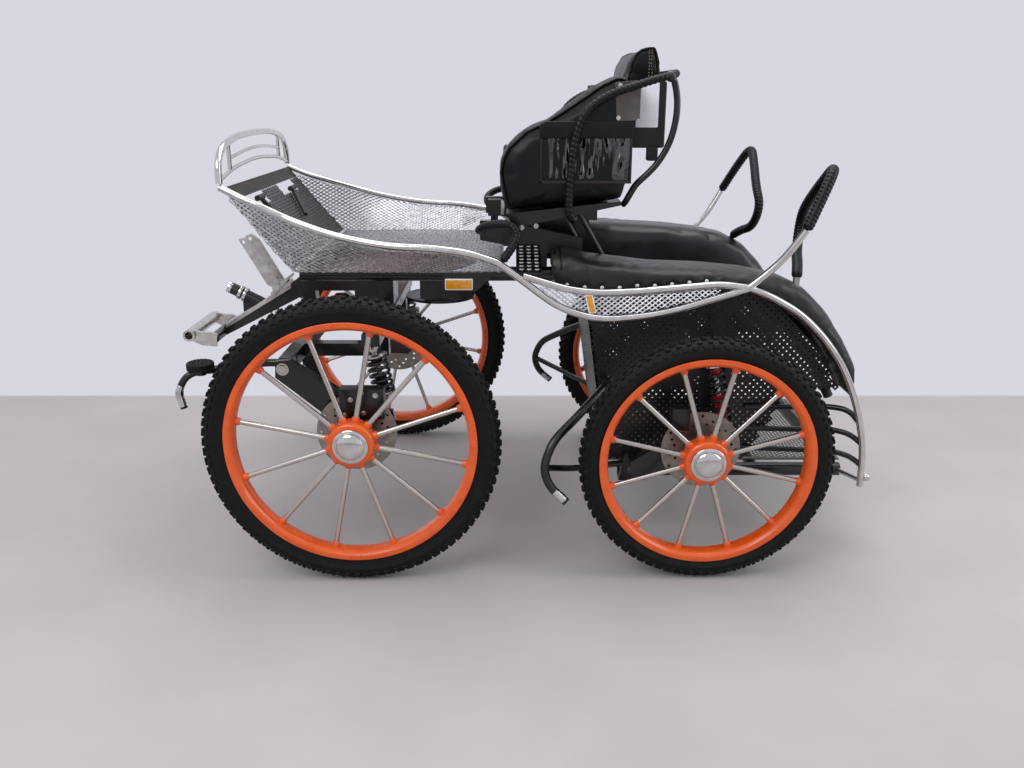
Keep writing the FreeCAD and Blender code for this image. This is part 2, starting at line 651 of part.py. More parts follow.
def rear_rails():
    """The rails that sweep down over the rear wheels, each with a ball and a foot to the frame."""
    rail = rear_rail(RAIL_R).cut(side_rail(RAIL_R))
    x, y, z = REAR_RAIL[-1]
    stem = rod((rear(x), y, z + 26), (rear(x) + 13, y, z + 26), 5)
    ball = Part.makeSphere(12, V(rear(x) + 15, y, z + 26))
    foot = rod((rear(x), y + 1, z + 18), (rear(448), FRAME_HALF + 5, LOW_FRAME_Z), 8)
    frame_end = rod((rear(400), FRAME_HALF, LOW_FRAME_Z), (rear(456), FRAME_HALF, LOW_FRAME_Z),
                    FRAME_R + FIT)
    return pair(fused(rail, stem, ball, foot.cut(frame_end)))


BEAM_Y = 300.0
BEAM_HALF = 15.0

# The grab handles beside the well; columns: x behind the rear axle, |y|, z
GRAB_LEG = ((98, 462, 799), (132, 466, 828), (175, 478, 873), (202, 488, 914), (226, 495, 955))
GRAB_GRIP = ((226, 495, 955), (268, 470, 1040), (307, 431, 1113), (301, 360, 1066), (290, 265, 990),
             (296, 215, 935), (284, 245, 860), (264, 330, 838), (250, 378, 812))


# Length of the bar under a grip
GRAB_FOOT = 89.0

# The wrapped loops between the seat's beams and the basket's rails; columns: x, |y|, z
MOUNTING_LOOP = ((346, BEAM_Y + BEAM_HALF, 931), (335, 380, 936), (349, 430, 953), (384, 455, 966),
                 (423, 462, 966), (443, 470, 944), (428, 484, 909), (400, 493, 874))


def grab_grip(radius):
    return tube([(rear(x), y, z) for x, y, z in GRAB_GRIP], radius)


def grab_foot(radius, reach):
    """The bar from a grip's lower end down through the pad to its tray."""
    x, y, z = GRAB_GRIP[-1]
    return rod((rear(x), y, z), (rear(x - reach / 22), y + reach / 30, z - reach), radius)


def grab_handles():
    """The bright legs of the grab handles, from the rear rail and from the mudguard's tray."""
    leg = tube([(rear(x), y, z) for x, y, z in GRAB_LEG], RAIL_R)
    grip = grab_grip(GRIP_R)
    leg = leg.cut(rear_rail(RAIL_R + FIT)).cut(side_rail(RAIL_R + FIT)).cut(grip)
    foot = grab_foot(RAIL_R, GRAB_FOOT).cut(grip)
    return pair(*[max(bar.Solids, key=lambda solid: solid.Volume) for bar in (leg, foot)])


def hand_grips():
    """The wrapped grips of the grab handles, and the wrapped loops beside the seat."""
    loop = tube([(front(x), y, z) for x, y, z in MOUNTING_LOOP], LOOP_R)
    loop = loop.cut(basket_rail(RAIL_R + FIT)).cut(side_rail(RAIL_R + FIT))
    loop = loop.cut(box(front(330), front(410), BEAM_Y, BEAM_Y + BEAM_HALF + FIT, 900, 960))
    return pair(grab_grip(GRIP_R), loop)


# Padded mudguards; columns: x, low z, crown z, outer |y|
CUSHION_FRONT = ((525, 827, 884, 460), (570, 828, 884, 466), (640, 827, 866, 478))
CUSHION_REAR = ((-149, 808, 848, 474), (0, 814, 840, 462), (109, 790, 830, 445), (200, 748, 812, 438),
                (270, 699, 780, 430), (330, 640, 722, 422), (385, 566, 645, 414), (437, 455, 560, 405))
TRAY_LIP = 6.0
# The pads' padded inner skirt, hanging beside the groom's well: thickness, and drop at each row
SKIRT_T = 14.0
SKIRT_DROPS = (1, 1, 1, 82, 88, 76, 60, 44, 30, 18, 8)


def cushion_rows():
    rows = [(front(x), low, crown, outer) for x, low, crown, outer in CUSHION_FRONT]
    return rows + [(rear(x), low, crown, outer) for x, low, crown, outer in CUSHION_REAR]


def mudguard_cushions():
    """Two upholstered pads that run from the seat back and down over the rear wheels."""
    wires = []
    for (x, low, crown, outer), drop in zip(cushion_rows(), SKIRT_DROPS):
        edge = low + (crown - low) * 0.45
        fold = V(x, CUSHION_INNER + SKIRT_T, low)
        foot = V(x, CUSHION_INNER + SKIRT_T, low - drop)
        a = V(x, CUSHION_INNER, low - drop)
        b = V(x, outer, low)
        c = V(x, outer, edge)
        d = V(x, (outer + CUSHION_INNER) / 2, crown)
        e = V(x, CUSHION_INNER, edge)
        corners = [a, foot, fold, b, c]
        edges = [Part.LineSegment(p, q).toShape() for p, q in zip(corners, corners[1:])]
        edges += [Part.Arc(c, d, e).toShape(), Part.LineSegment(e, a).toShape()]
        wires.append(Part.Wire(edges))
    pad = Part.makeLoft(wires, True, True).cut(grab_foot(RAIL_R + FIT, GRAB_FOOT + 40))
    beam_end = box(front(500), front(620) + FIT, BEAM_Y - BEAM_HALF - FIT, BEAM_Y + BEAM_HALF + FIT,
                   SEAT_Z - 139, SEAT_Z)
    return pair(pad.cut(beam_end).cut(seat_stay(6 + FIT)))


def mudguard_trays():
    """The black sheet trays that carry the two pads, out to the rails."""
    wires = []
    for x, low, _, outer in cushion_rows()[2:]:
        top = low - FIT
        inner = CUSHION_INNER + SKIRT_T + FIT
        corners = [V(x, inner, top), V(x, outer + TRAY_LIP, top)]
        corners += [V(x, outer + TRAY_LIP, top - SHEET), V(x, inner, top - SHEET)]
        corners.append(corners[0])
        wires.append(Part.makePolygon(corners))
    tray = Part.makeLoft(wires, True, True).cut(side_rail(RAIL_R + FIT)).cut(rear_rail(RAIL_R + FIT))
    tray = tray.cut(seat_stay(6 + FIT))
    return pair(max(tray.Solids, key=lambda solid: solid.Volume))


WELL_SIDE_Y = FRAME_HALF + FRAME_R + FIT


def well_panels():
    """Perforated walls of the groom's well: one beside each rear wheel and one in front."""
    outline = [(wall_x(790) + 10, 790), (wall_x(660), 674), (wall_x(365), 365), (wall_x(260), 255)]
    outline += [(rear(170), 255), (rear(285), 470), (rear(426), 470)]
    tops = [(rear(x), low - SHEET - 2 * FIT) for x, low, _, _ in CUSHION_REAR[:-1]]
    outline += reversed(tops)
    side = plate(outline, WELL_SIDE_Y, WELL_SIDE_Y + SHEET)
    x, _, z = REAR_DAMPER_TOP
    side = side.cut(box(x - 28, x + 28, WELL_SIDE_Y - 1, WELL_SIDE_Y + 9, z + 11, z + 28))
    ahead = [(wall_x(674), 674), (wall_x(674) + WALL_T, 674), (wall_x(260) + WALL_T, 260)]
    ahead.append((wall_x(260), 260))
    return Part.makeCompound([side, other_side(side), plate(ahead, FIT - WELL_SIDE_Y,
                                                            WELL_SIDE_Y - FIT)])


def well_floor():
    half = FRAME_HALF - FRAME_R - FIT
    return box(wall_x(240) + 12, rear(462), -half, half, WELL_FLOOR_Z, WELL_FLOOR_Z + 4)


# The three bars beside each rear wheel; columns: x behind the rear axle, |y|, z
STEP_BARS = (((150, 0, 421), (300, 338, 424), (385, 368, 436), (430, 395, 434), (455, 417, 402)),
             ((150, 0, 357), (310, 340, 356), (400, 372, 367), (440, 395, 362), (472, 411, 336)),
             ((150, 0, 296), (325, 342, 293), (412, 375, 300), (450, 395, 292), (480, 405, 268)))
STEP_BAR_R = 8.0


def rear_steps():
    """Three curved bars on each side, from the well panel out to the rear rail."""
    seat_y = WELL_SIDE_Y + SHEET + FIT + STEP_BAR_R
    bars = []
    for route in STEP_BARS:
        points = [(rear(x), max(y, seat_y), z) for x, y, z in route]
        bars.append(tube(points, STEP_BAR_R).cut(rear_rail(RAIL_R + FIT)))
    return pair(*bars)


REAR_Z = REAR_WHEEL_R
REAR_ARM_Y = REAR_WHEEL_Y - ARM_INSET - ARM_T
REAR_PIVOT = (rear(-170), REAR_Z - 75)
REAR_DAMPER_TOP = (rear(40), REAR_ARM_Y - 46, 585.0)
REAR_DAMPER_FOOT = (rear(84), REAR_ARM_Y - 46, REAR_Z + 20)


def rear_arms():
    """Trailing arms that carry the rear stub axles."""
    x, z = REAR_PIVOT
    outline = [(x - 22, z - 8), (x - 18, z + 22), (rear(-46), REAR_Z + 34), (rear(60), REAR_Z + 40)]
    outline += [(rear(106), REAR_Z + 30), (rear(104), REAR_Z - 6), (rear(36), REAR_Z - 34), (x, z - 24)]
    arm = plate(outline, REAR_ARM_Y, REAR_ARM_Y + ARM_T)
    pin = rod((x, WELL_SIDE_Y + SHEET + 30, z), (x, REAR_ARM_Y, z), 12)
    foot_x, foot_y, foot_z = REAR_DAMPER_FOOT
    foot = rod((foot_x, foot_y + 14 + FIT, foot_z), (foot_x, REAR_ARM_Y, foot_z), 9)
    return pair(fused(arm, pin, foot))


def rear_brackets():
    """One side's brackets on the frame for the arm's pivot and the damper's top."""
    x, z = REAR_PIVOT
    low = plate([(x - 40, 200), (x + 40, 200), (x + 22, z + 24), (x - 22, z + 24)],
                WELL_SIDE_Y + SHEET + FIT, WELL_SIDE_Y + SHEET + 30)
    root = box(x - 40, x + 40, FRAME_HALF, WELL_SIDE_Y + SHEET + 2, 205, 225)
    top_x, top_y, top_z = REAR_DAMPER_TOP
    high = box(top_x - 26, top_x + 26, FRAME_HALF, top_y + 20, top_z + 13 + FIT, top_z + 26)
    return fused(low, root, high)


def rear_hub_carriers():
    """The stub axles of the rear wheels, with the brake calipers."""
    stub = stub_axle(rear(0), REAR_WHEEL_Y, REAR_Z)
    return pair(stub, caliper(rear(0), REAR_WHEEL_Y, REAR_Z, (-86, -38, 62, 124)))


def rear_dampers():
    return pair(coil_over(REAR_DAMPER_TOP, REAR_DAMPER_FOOT, 26, 7))


def wheel_guards():
    """Bent bars ahead of the rear wheels, each with a bright tip and a brace to the frame."""
    seat_y = WELL_SIDE_Y + SHEET + FIT
    x = wall_x(500) + 30
    guard = tube([(x, seat_y, 500), (x, seat_y + 44, 500), (front(608), 460, 440),
                  (front(536), 520, 388), (front(511), 540, 322), (front(526), 548, 270),
                  (front(574), 556, 226)], 12)
    brace = tube([(front(520), 536, 318), (front(600), 480, 292), (REAR_PIVOT[0] - 24, 338, 250)], 9)
    return pair(fused(guard, brace.cut(rear_brackets())))


# ---- seat --------------------------------------------------------------------------------------

# The board under the seat; columns: x behind the front axle, rise above SEAT_Z
SEAT_BOARD = ((412, -4), (712, 29), (712, 18), (470, -33), (430, -43))
SEAT_BEAM = ((338, -33), (400, -33), (620, -81), (620, -138), (338, -86))


def seat_stay(radius):
    """One side's thin stay, from the board down to the tube under the mudguard."""
    return rod((front(606), BEAM_Y - 10, SEAT_Z - 6), (front(714), BEAM_Y, 796), radius)


def seat_base():
    """The board under the seat, on a pedestal and two sloping box beams."""
    deck = FLOOR_Z - 4
    board = plate([(front(x), SEAT_Z + rise) for x, rise in SEAT_BOARD], -SEAT_BOARD_HALF,
                  SEAT_BOARD_HALF)
    cross = box(front(606), front(668), -220, 220, SEAT_Z - 44, SEAT_Z - 2)
    pedestal = [(front(484), deck), (front(668), deck), (front(668), 852), (front(640), SEAT_Z - 10)]
    pedestal += [(front(500), SEAT_Z - 20), (front(484), SEAT_Z - 60)]
    beam = [(front(x), SEAT_Z + rise) for x, rise in SEAT_BEAM]
    stay = seat_stay(6).cut(upper_carrier(CARRIER_R + FIT))
    pieces = [cross, stay, other_side(stay)]
    for side in SIDES:
        pieces.append(plate(pedestal, side * 150 - 24, side * 150 + 24))
        pieces.append(plate(beam, side * BEAM_Y - BEAM_HALF, side * BEAM_Y + BEAM_HALF))
        pieces.append(box(front(484), front(524), side * 285 - 15, side * 285 + 15, deck, SEAT_Z - 100))
        pieces.append(rod((front(564), side * 290, SEAT_Z - 10), (front(604), side * 290, SEAT_Z - 82), 6))
    return fused(board, *pieces)


# Side outline of the seat's wing; columns: x behind the front axle, rise above SEAT_Z
WING = ((403, 2), (386, 72), (386, 132), (404, 172), (447, 215), (507, 244), (586, 292), (645, 328),
        (690, 347), (722, 343), (734, 317), (733, 74), (722, 34), (700, 28), (411, 0))


def wing_plate(drop, y0, y1):
    """The wing's outline as a plate, with its sloping top lowered by drop."""
    outline = []
    for x, rise in WING:
        outline.append((front(x), SEAT_Z + rise - (drop if rise > 160 else 0)))
    return plate(outline, y0, y1)


def driver_seat():
    """A bucket seat with thick side wings; the right wing is a little lower."""
    inner = SEAT_HALF - WING_T
    shell = fused(wing_plate(FAR_WING_DROP, -SEAT_HALF, SEAT_HALF), wing_plate(0, -SEAT_HALF, -inner))
    return shell.cut(box(front(380), front(760), -inner, inner, SEAT_PAN_Z, SEAT_Z + 415))


# Side outline of the backrest above the seat pan, the same columns as the wing
BACKREST = ((705, 262), (738, 342), (752, 384), (772, 414), (800, 423), (826, 421), (834, 382),
            (832, 334), (739, 330))
CASE_TOP = SEAT_Z + 330 - FIT


def seat_back():
    low = SEAT_PAN_Z + FIT
    outline = [(front(690), low)] + [(front(x), SEAT_Z + rise) for x, rise in BACKREST]
    outline.append((front(BACK_X), low))
    return plate(outline, -BACK_HALF, BACK_HALF)


def seat_back_case():
    """The flat black case behind the backrest, with a tab below it on each side."""
    low = SEAT_Z + 162
    case = box(front(BACK_X) + FIT, front(826), -CASE_HALF, CASE_HALF, low, CASE_TOP)
    tabs = [box(front(782), front(810), side * 342 - 13, side * 342 + 13, low - 34, low + 1)
            for side in SIDES]
    return fused(case, *tabs)


def seat_side_plates():
    outline = [(front(683), SEAT_Z + 324), (front(738), SEAT_Z + 330), (front(741), SEAT_Z + 234)]
    outline.append((front(690), SEAT_Z + 231))
    cheek = plate(outline, SEAT_HALF + FIT, SEAT_HALF + 4)
    web = box(front(737), front(748), CASE_HALF + FIT, SEAT_HALF + 4, SEAT_Z + 238, SEAT_Z + 324)
    return pair(fused(cheek, web))


def seat_pockets():
    return pair(box(front(500), front(730), SEAT_HALF + FIT, SEAT_HALF + 8, SEAT_Z + 82, SEAT_Z + 194))


# The hand rail and its brace; columns: x behind the front axle, |y|, rise above SEAT_Z
SEAT_RAIL = ((571, 455, 28), (576, 455, 114), (581, 455, 175), (596, 455, 231), (620, 455, 265),
             (654, 455, 288), (688, 454, 304), (735, 452, 317), (775, 448, 330), (816, 434, 340),
             (842, 396, 346), (850, 320, 348))
SEAT_BRACE = ((841, 410, 308), (846, 410, 264), (841, 410, 217), (829, 409, 173), (806, 407, 131),
              (779, 404, 100), (750, 400, 74), (739, 390, 52), (726, 374, 22))
PEDESTAL_Y = 174.0


def board_low(x):
    """Height of the board's sloping underside at x."""
    (x1, rise1), (x0, rise0) = SEAT_BOARD[2:4]
    return SEAT_Z + rise0 + (rise1 - rise0) * (x - x0) / (x1 - x0)


def seat_rails():
    """The wrapped hand rail that rises beside the seat and runs round behind the backrest."""
    foot_z = board_low(592) - 1.03 * (SEAT_RAIL_R + FIT)
    half = [(front(592), -PEDESTAL_Y - FIT, foot_z), (front(590), -418, foot_z - 2),
            (front(576), -452, foot_z + 8)]
    half += [(front(x), -y, SEAT_Z + rise) for x, y, rise in SEAT_RAIL]
    rail = tube(half + [(x, -y, z) for x, y, z in reversed(half)], SEAT_RAIL_R)
    brace = [(front(830), 420, SEAT_Z + 336)] + [(front(x), y, SEAT_Z + rise) for x, y, rise in SEAT_BRACE]
    brace.append((front(712) + SEAT_BRACE_R + FIT, 360, SEAT_Z + 14))
    arm = tube(brace, SEAT_BRACE_R)
    return fused(rail, arm, other_side(arm))


# The serrated tread between the seat's beam and the side rails; columns: |y|, z of its top
SIDE_TREAD = ((BEAM_Y + BEAM_HALF + FIT, 891), (RAIL_HALF - 2, 846))


def side_brackets():
    """Black treads beside the seat's beams, and the reflectors' carriers under the basket."""
    (inner, inner_z), (outer, outer_z) = SIDE_TREAD
    points = [V(front(437), inner, inner_z), V(front(437), outer, outer_z)]
    points += [V(front(437), outer, outer_z - 4), V(front(437), inner, inner_z - 4)]
    points.append(points[0])
    tread = Part.Face(Part.makePolygon(points)).extrude(V(67, 0, 0))
    tread = tread.cut(side_rail(RAIL_R + FIT)).cut(basket_rail(RAIL_R + FIT))
    low = plate([(front(240), 776), (front(330), 776), (front(383), 826), (front(240), 826)],
                BASKET_HALF - 6, BASKET_HALF - 1)
    arm = box(front(280), front(320), FRAME_HALF + FRAME_R + FIT, BASKET_HALF - 4, FRAME_Z - 8,
              FRAME_Z + 8)
    return pair(max(tread.Solids, key=lambda solid: solid.Volume), fused(low, arm))


def reflectors():
    return pair(box(front(248), front(318), BASKET_HALF - 1, BASKET_HALF + 8, 783, 808),
                box(front(618), front(644), RAIL_HALF + 2, RAIL_HALF + 6, 744, 786))


PIECES = (turntable_lower, front_frame, front_arms, front_hub_carriers, front_dampers, front_steps,
          pole_carrier, pole_clevis, pole_socket, draught_plate, turntable_upper, main_frame,
          basket_floor, basket_rails, mesh_panels, footboard, brake_controls, rein_rail, side_rails,
          rear_rails, grab_handles, hand_grips, mudguard_cushions, mudguard_trays, well_panels,
          well_floor, rear_steps, rear_arms, rear_hub_carriers, rear_dampers, wheel_guards, seat_base,
          driver_seat, seat_back, seat_back_case, seat_side_plates, seat_pockets, seat_rails,
          side_brackets, reflectors)


def main():
    os.makedirs("parts", exist_ok=True)
    wheels()
    for make in PIECES:
        save(make.__name__, make())


main()
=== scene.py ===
import bpy
import bmesh
import json
import math
from mathutils import Matrix, Vector, geometry, noise
from mathutils.bvhtree import BVHTree


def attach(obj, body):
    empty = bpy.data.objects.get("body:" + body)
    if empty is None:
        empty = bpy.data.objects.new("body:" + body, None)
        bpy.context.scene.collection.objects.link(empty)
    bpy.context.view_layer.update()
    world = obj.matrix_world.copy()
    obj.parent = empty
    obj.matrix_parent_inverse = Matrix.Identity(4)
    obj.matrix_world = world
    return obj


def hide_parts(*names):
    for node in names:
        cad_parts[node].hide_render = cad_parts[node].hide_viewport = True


# A four-wheeled marathon carriage. Metres, the horse's end towards -X, the near side towards -Y.
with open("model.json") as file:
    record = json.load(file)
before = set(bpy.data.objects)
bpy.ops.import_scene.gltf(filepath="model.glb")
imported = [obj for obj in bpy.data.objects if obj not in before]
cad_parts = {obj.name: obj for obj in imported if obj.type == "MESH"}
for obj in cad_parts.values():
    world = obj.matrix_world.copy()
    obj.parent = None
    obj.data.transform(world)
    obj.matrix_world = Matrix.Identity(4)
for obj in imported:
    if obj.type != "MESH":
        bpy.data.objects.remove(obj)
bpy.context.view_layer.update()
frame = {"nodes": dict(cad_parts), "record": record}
scene = bpy.context.scene
scene.view_settings.view_transform = "Standard"
nodes = frame["nodes"]
bothSides = (("Left", -1), ("Right", 1))
axles = {"front": -0.440, "rear": 0.510}
print("frame loaded:", len(nodes), "nodes")


def toLinear(code):
    parts = [int(code[i:i + 2], 16) / 255 for i in (1, 3, 5)]
    return [c / 12.92 if c <= 0.04045 else ((c + 0.055) / 1.055) ** 2.4 for c in parts] + [1.0]


def addNode(tree, kind, inputs=None, **settings):
    node = tree.nodes.new("ShaderNode" + kind)
    for name, value in settings.items():
        setattr(node, name, value)
    for key, value in (inputs or {}).items():
        if isinstance(value, bpy.types.NodeSocket):
            tree.links.new(value, node.inputs[key])
        else:
            node.inputs[key].default_value = value
    return node


# finishes
# Sizes are in millimetres. tones: colour in the hollows and on top of the pattern.

finishes = {}


def makeFinish(name, tones, rough, patch=40, grain=2.0, bump=0.1, metallic=0.0, stretch=(1, 1, 1),
               dust=0.0, dustTone="#8A8680", coat=0.0, kind="noise", deep=0.0004, shine=0.5):
    material = bpy.data.materials.new(name)
    material.use_nodes = True
    tree = material.node_tree
    shader = tree.nodes["Principled BSDF"]
    coords = addNode(tree, "TexCoord").outputs["Object"]
    large = addNode(tree, "TexNoise", {"Vector": coords, "Scale": 1000 / patch, "Detail": 4.0})
    share = addNode(tree, "MapRange", {0: large.outputs[0], 1: 0.36, 2: 0.64})
    tone = addNode(tree, "Mix", {0: share.outputs[0], 6: toLinear(tones[0]), 7: toLinear(tones[1])},
                   data_type="RGBA").outputs[2]
    if dust:
        up = addNode(tree, "SeparateXYZ", {0: addNode(tree, "NewGeometry").outputs["Normal"]})
        lies = addNode(tree, "MapRange", {0: up.outputs[2], 1: 0.2, 2: 1.0, 4: dust})
        amount = addNode(tree, "Math", {0: lies.outputs[0], 1: share.outputs[0]}, operation="MULTIPLY")
        tone = addNode(tree, "Mix", {0: amount.outputs[0], 6: tone, 7: toLinear(dustTone)},
                       data_type="RGBA").outputs[2]
    tree.links.new(tone, shader.inputs["Base Color"])
    spread = addNode(tree, "Mapping", {"Vector": coords, "Scale": stretch})
    if kind == "pebble":
        cells = addNode(tree, "TexVoronoi", {"Vector": spread.outputs[0], "Scale": 1000 / grain},
                        feature="DISTANCE_TO_EDGE")
        fine = addNode(tree, "MapRange", {0: cells.outputs["Distance"], 2: 0.35}).outputs[0]
    else:
        fine = addNode(tree, "TexNoise", {"Vector": spread.outputs[0], "Scale": 1000 / grain,
                                          "Detail": 3.0}).outputs[0]
    gloss = addNode(tree, "MapRange", {0: fine if stretch != (1, 1, 1) else large.outputs[0],
                                       1: 0.3, 2: 0.7, 3: rough[0], 4: rough[1]})
    tree.links.new(gloss.outputs[0], shader.inputs["Roughness"])
    relief = addNode(tree, "Bump", {"Strength": bump, "Distance": deep, "Height": fine})
    tree.links.new(relief.outputs[0], shader.inputs["Normal"])
    shader.inputs["Metallic"].default_value = metallic
    shader.inputs["Specular IOR Level"].default_value = shine
    if coat:
        shader.inputs["Coat Weight"].default_value = coat
        shader.inputs["Coat Roughness"].default_value = 0.06
    finishes[name] = material
    return material


# Sprayed two-part enamel, baked: even colour, wet gloss with a faint orange peel
makeFinish("orangeEnamel", ("#DE520E", "#E85E14"), (0.24, 0.32), 60, 3.0, 0.06, coat=0.35)
# Vulcanised rubber: near black, dull, greyer where dust stays
makeFinish("tyreRubber", ("#080908", "#121311"), (0.55, 0.72), 18, 1.5, 0.35, dust=0.07, shine=0.22)
# Drawn stainless rod: bright, with a fine lengthwise haze
makeFinish("satinSteel", ("#BFBAB4", "#CBC7C1"), (0.22, 0.30), 260, 2.0, 0.03, metallic=1.0)
# Mirror polished stainless tube: sharp reflections, a few smears
makeFinish("polishedSteel", ("#CBC9C6", "#DAD9D6"), (0.07, 0.16), 30, 6.0, 0.03, metallic=1.0)
# Turned cast iron disc: grey brown, swept dull by the pads
makeFinish("discSteel", ("#8B837C", "#A39B93"), (0.34, 0.46), 25, 1.4, 0.2, metallic=1.0)
# Gloss black powder coat on the welded frame
makeFinish("blackPowder", ("#050506", "#0B0C0D"), (0.24, 0.34), 50, 2.5, 0.14, dust=0.05, coat=0.25)
# Bare machined steel with a film of oil
makeFinish("bareSteel", ("#3A3937", "#55524E"), (0.36, 0.5), 16, 1.6, 0.25, metallic=1.0)
# Glass bead blasted stainless plate: pale, soft glints
makeFinish("blastedSteel", ("#C6C3BE", "#DEDCD8"), (0.26, 0.38), 24, 1.0, 0.15, metallic=1.0)
# Galvanised expanded steel: patchy bright zinc
makeFinish("zincMesh", ("#A8A8AC", "#D2D2D4"), (0.22, 0.40), 12, 3.0, 0.3, metallic=1.0)
# Perforated sheet, powder coated satin black
makeFinish("blackSheet", ("#070708", "#0F0F10"), (0.34, 0.48), 40, 1.5, 0.2, dust=0.06)
# Hot rolled sheet, phosphated: dull mid grey with a brown cast
makeFinish("greySheet", ("#55524D", "#6A6660"), (0.42, 0.55), 60, 1.8, 0.2, metallic=0.6, dust=0.1)
# Moulded nylon: even black, slight sheen
makeFinish("blackNylon", ("#08080A", "#101013"), (0.40, 0.52), 30, 1.2, 0.25)
# Pigmented cowhide: pebbled grain under a semi-gloss topcoat
makeFinish("blackLeather", ("#020405", "#070B0D"), (0.30, 0.40), 55, 3.2, 0.3, kind="pebble", shine=0.28)
# The same hide, painted lighter and greyer for the far mudguard pad as a painted sheen, with dust on its
# upward faces
makeFinish("smoothLeather", ("#14181A", "#22272A"), (0.28, 0.36), 90, 3.2, 0.15, kind="pebble", dust=0.12)
# Oiled cowhide worn brown-black by boots
makeFinish("brownLeather", ("#120F0D", "#1E1A17"), (0.32, 0.46), 70, 3.6, 0.35, kind="pebble", dust=0.14,
           dustTone="#57504A")
# Cast acrylic lens dyed amber
makeFinish("amberAcrylic", ("#D98A12", "#F0A824"), (0.12, 0.2), 5, 4.0, 0.4, coat=0.8)
# Anodised red shell of the gas damper
makeFinish("redShell", ("#A3121A", "#B81B22"), (0.2, 0.3), 30, 2.0, 0.05, coat=0.4)
# Soft clear PVC lying on black leather: dark, with hard glints on its wrinkles
makeFinish("clearVinyl", ("#0A0B0D", "#1C1D22"), (0.03, 0.10), 14, 6.0, 0.5, stretch=(1, 1, 0.12), coat=1.0,
           deep=0.0015, shine=0.9)
# Cast aluminium panel sprayed white
makeFinish("whitePanel", ("#EEF1F8", "#F6F8FC"), (0.25, 0.35), 30, 2.0, 0.03)
# Waxed polyester thread, tan
makeFinish("waxedThread", ("#9A8468", "#B39C7C"), (0.5, 0.6), 8, 0.6, 0.2)
# Moulded nylon stud heads, white
makeFinish("whiteNylon", ("#D8D6D0", "#E8E6E0"), (0.3, 0.4), 8, 1.0, 0.05)
print("finishes:", len(finishes))

# the frame's nodes by finish; a wheel's nodes end in its place, such as _front_left
nodesIn = {
    "satinSteel": "spokes", "discSteel": "brake_disc", "orangeEnamel": "rim_and_hub", "tyreRubber": "tyre",
    "polishedSteel": "hub_cap basket_rails rein_rail side_rails rear_rails grab_handles",
    "blackPowder": "front_frame front_arms front_hub_carriers front_steps pole_carrier pole_socket "
                   "turntable_upper main_frame rear_steps rear_arms rear_hub_carriers wheel_guards "
                   "seat_base side_brackets",
    "bareSteel": "turntable_lower", "blastedSteel": "pole_clevis draught_plate seat_side_plates",
    "zincMesh": "mesh_panels well_floor", "blackSheet": "basket_floor footboard mudguard_trays well_panels",
    "blackNylon": "front_dampers brake_controls", "redShell": "rear_dampers",
    "blackLeather": "hand_grips driver_seat seat_back seat_back_case seat_rails",
    "brownLeather": "mudguard_cushions", "clearVinyl": "seat_pockets", "amberAcrylic": "reflectors",
}
nodeFinish = {kind: finish for finish, kinds in nodesIn.items() for kind in kinds.split()}
for name, node in nodes.items():
    kind = name if name in nodeFinish else name.rsplit("_", 2)[0]
    node.data.materials.clear()
    node.data.materials.append(finishes[nodeFinish[kind]])

# building


bodyOf = {node: body for body, held in frame["record"]["behaviour"]["bodies"].items() for node in held}


def makePiece(bm, name, finish, held=(), angle=35, body="chassis", turn=True):
    # a finished piece: the nodes held, which it stands for, say its body and are hidden; edges sharper
    # than angle stay sharp, and turn makes its faces point outwards
    if turn:
        bmesh.ops.recalc_face_normals(bm, faces=bm.faces)
    limit = math.radians(angle)
    for face in bm.faces:
        face.smooth = True
    for edge in bm.edges:
        edge.smooth = len(edge.link_faces) == 2 and edge.calc_face_angle(0) < limit
    mesh = bpy.data.meshes.new(name)
    bm.to_mesh(mesh)
    bm.free()
    piece = bpy.data.objects.new(name, mesh)
    scene.collection.objects.link(piece)
    mesh.materials.append(finishes[finish])
    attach(piece, bodyOf[held[0]] if held else body)
    if held:
        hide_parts(*held)
    return piece


def roundOff(bm, geom, offset, segments, affect="EDGES", clamp=False):
    bmesh.ops.bevel(bm, geom=geom, offset=offset, affect=affect, segments=segments, profile=0.5,
                    material=-1, clamp_overlap=clamp)


def lathe(bm, profile, steps, corner=0.0, segments=2):
    # a closed outline of (radius, y) turned about the Y axis, its corners rounded first
    older = set(bm.faces)
    verts = [bm.verts.new((radius, y, 0)) for radius, y in profile]
    face = bm.faces.new(verts)
    if corner:
        roundOff(bm, verts, corner, segments, "VERTICES")
    face = [new for new in bm.faces if new not in older][0]
    edges = list(face.edges)
    bmesh.ops.delete(bm, geom=[face], context="FACES_ONLY")
    bmesh.ops.spin(bm, geom=edges, cent=(0, 0, 0), axis=(0, 1, 0), angle=math.tau, steps=steps,
                   use_merge=True)


def stamp(bm, shape, matrix):
    # one more copy of a small shape, moved into place
    copy = shape.copy()
    copy.transform(matrix)
    bm.from_mesh(copy)
    bpy.data.meshes.remove(copy)


def asShape(bm):
    mesh = bpy.data.meshes.new("shape")
    bm.to_mesh(mesh)
    bm.free()
    return mesh


def addPart(bm, part, matrix=Matrix()):
    shape = asShape(part)
    stamp(bm, shape, matrix)
    bpy.data.meshes.remove(shape)


def behind(end, rows):
    # rows whose first column is measured behind one of the axles
    return [(axles[end] + row[0], *row[1:]) for row in rows]


# wheels

tyreLook = {"rise": 0.006, "section": 0.029, "width": 0.031, "steps": 120, "wrap": 112, "beadDrop": 0.011,
            "beadHalf": 0.0245, "ridge": 0.0011, "ridges": (2, 4, 20, 22), "taper": 0.84, "chamfer": 0.0011}
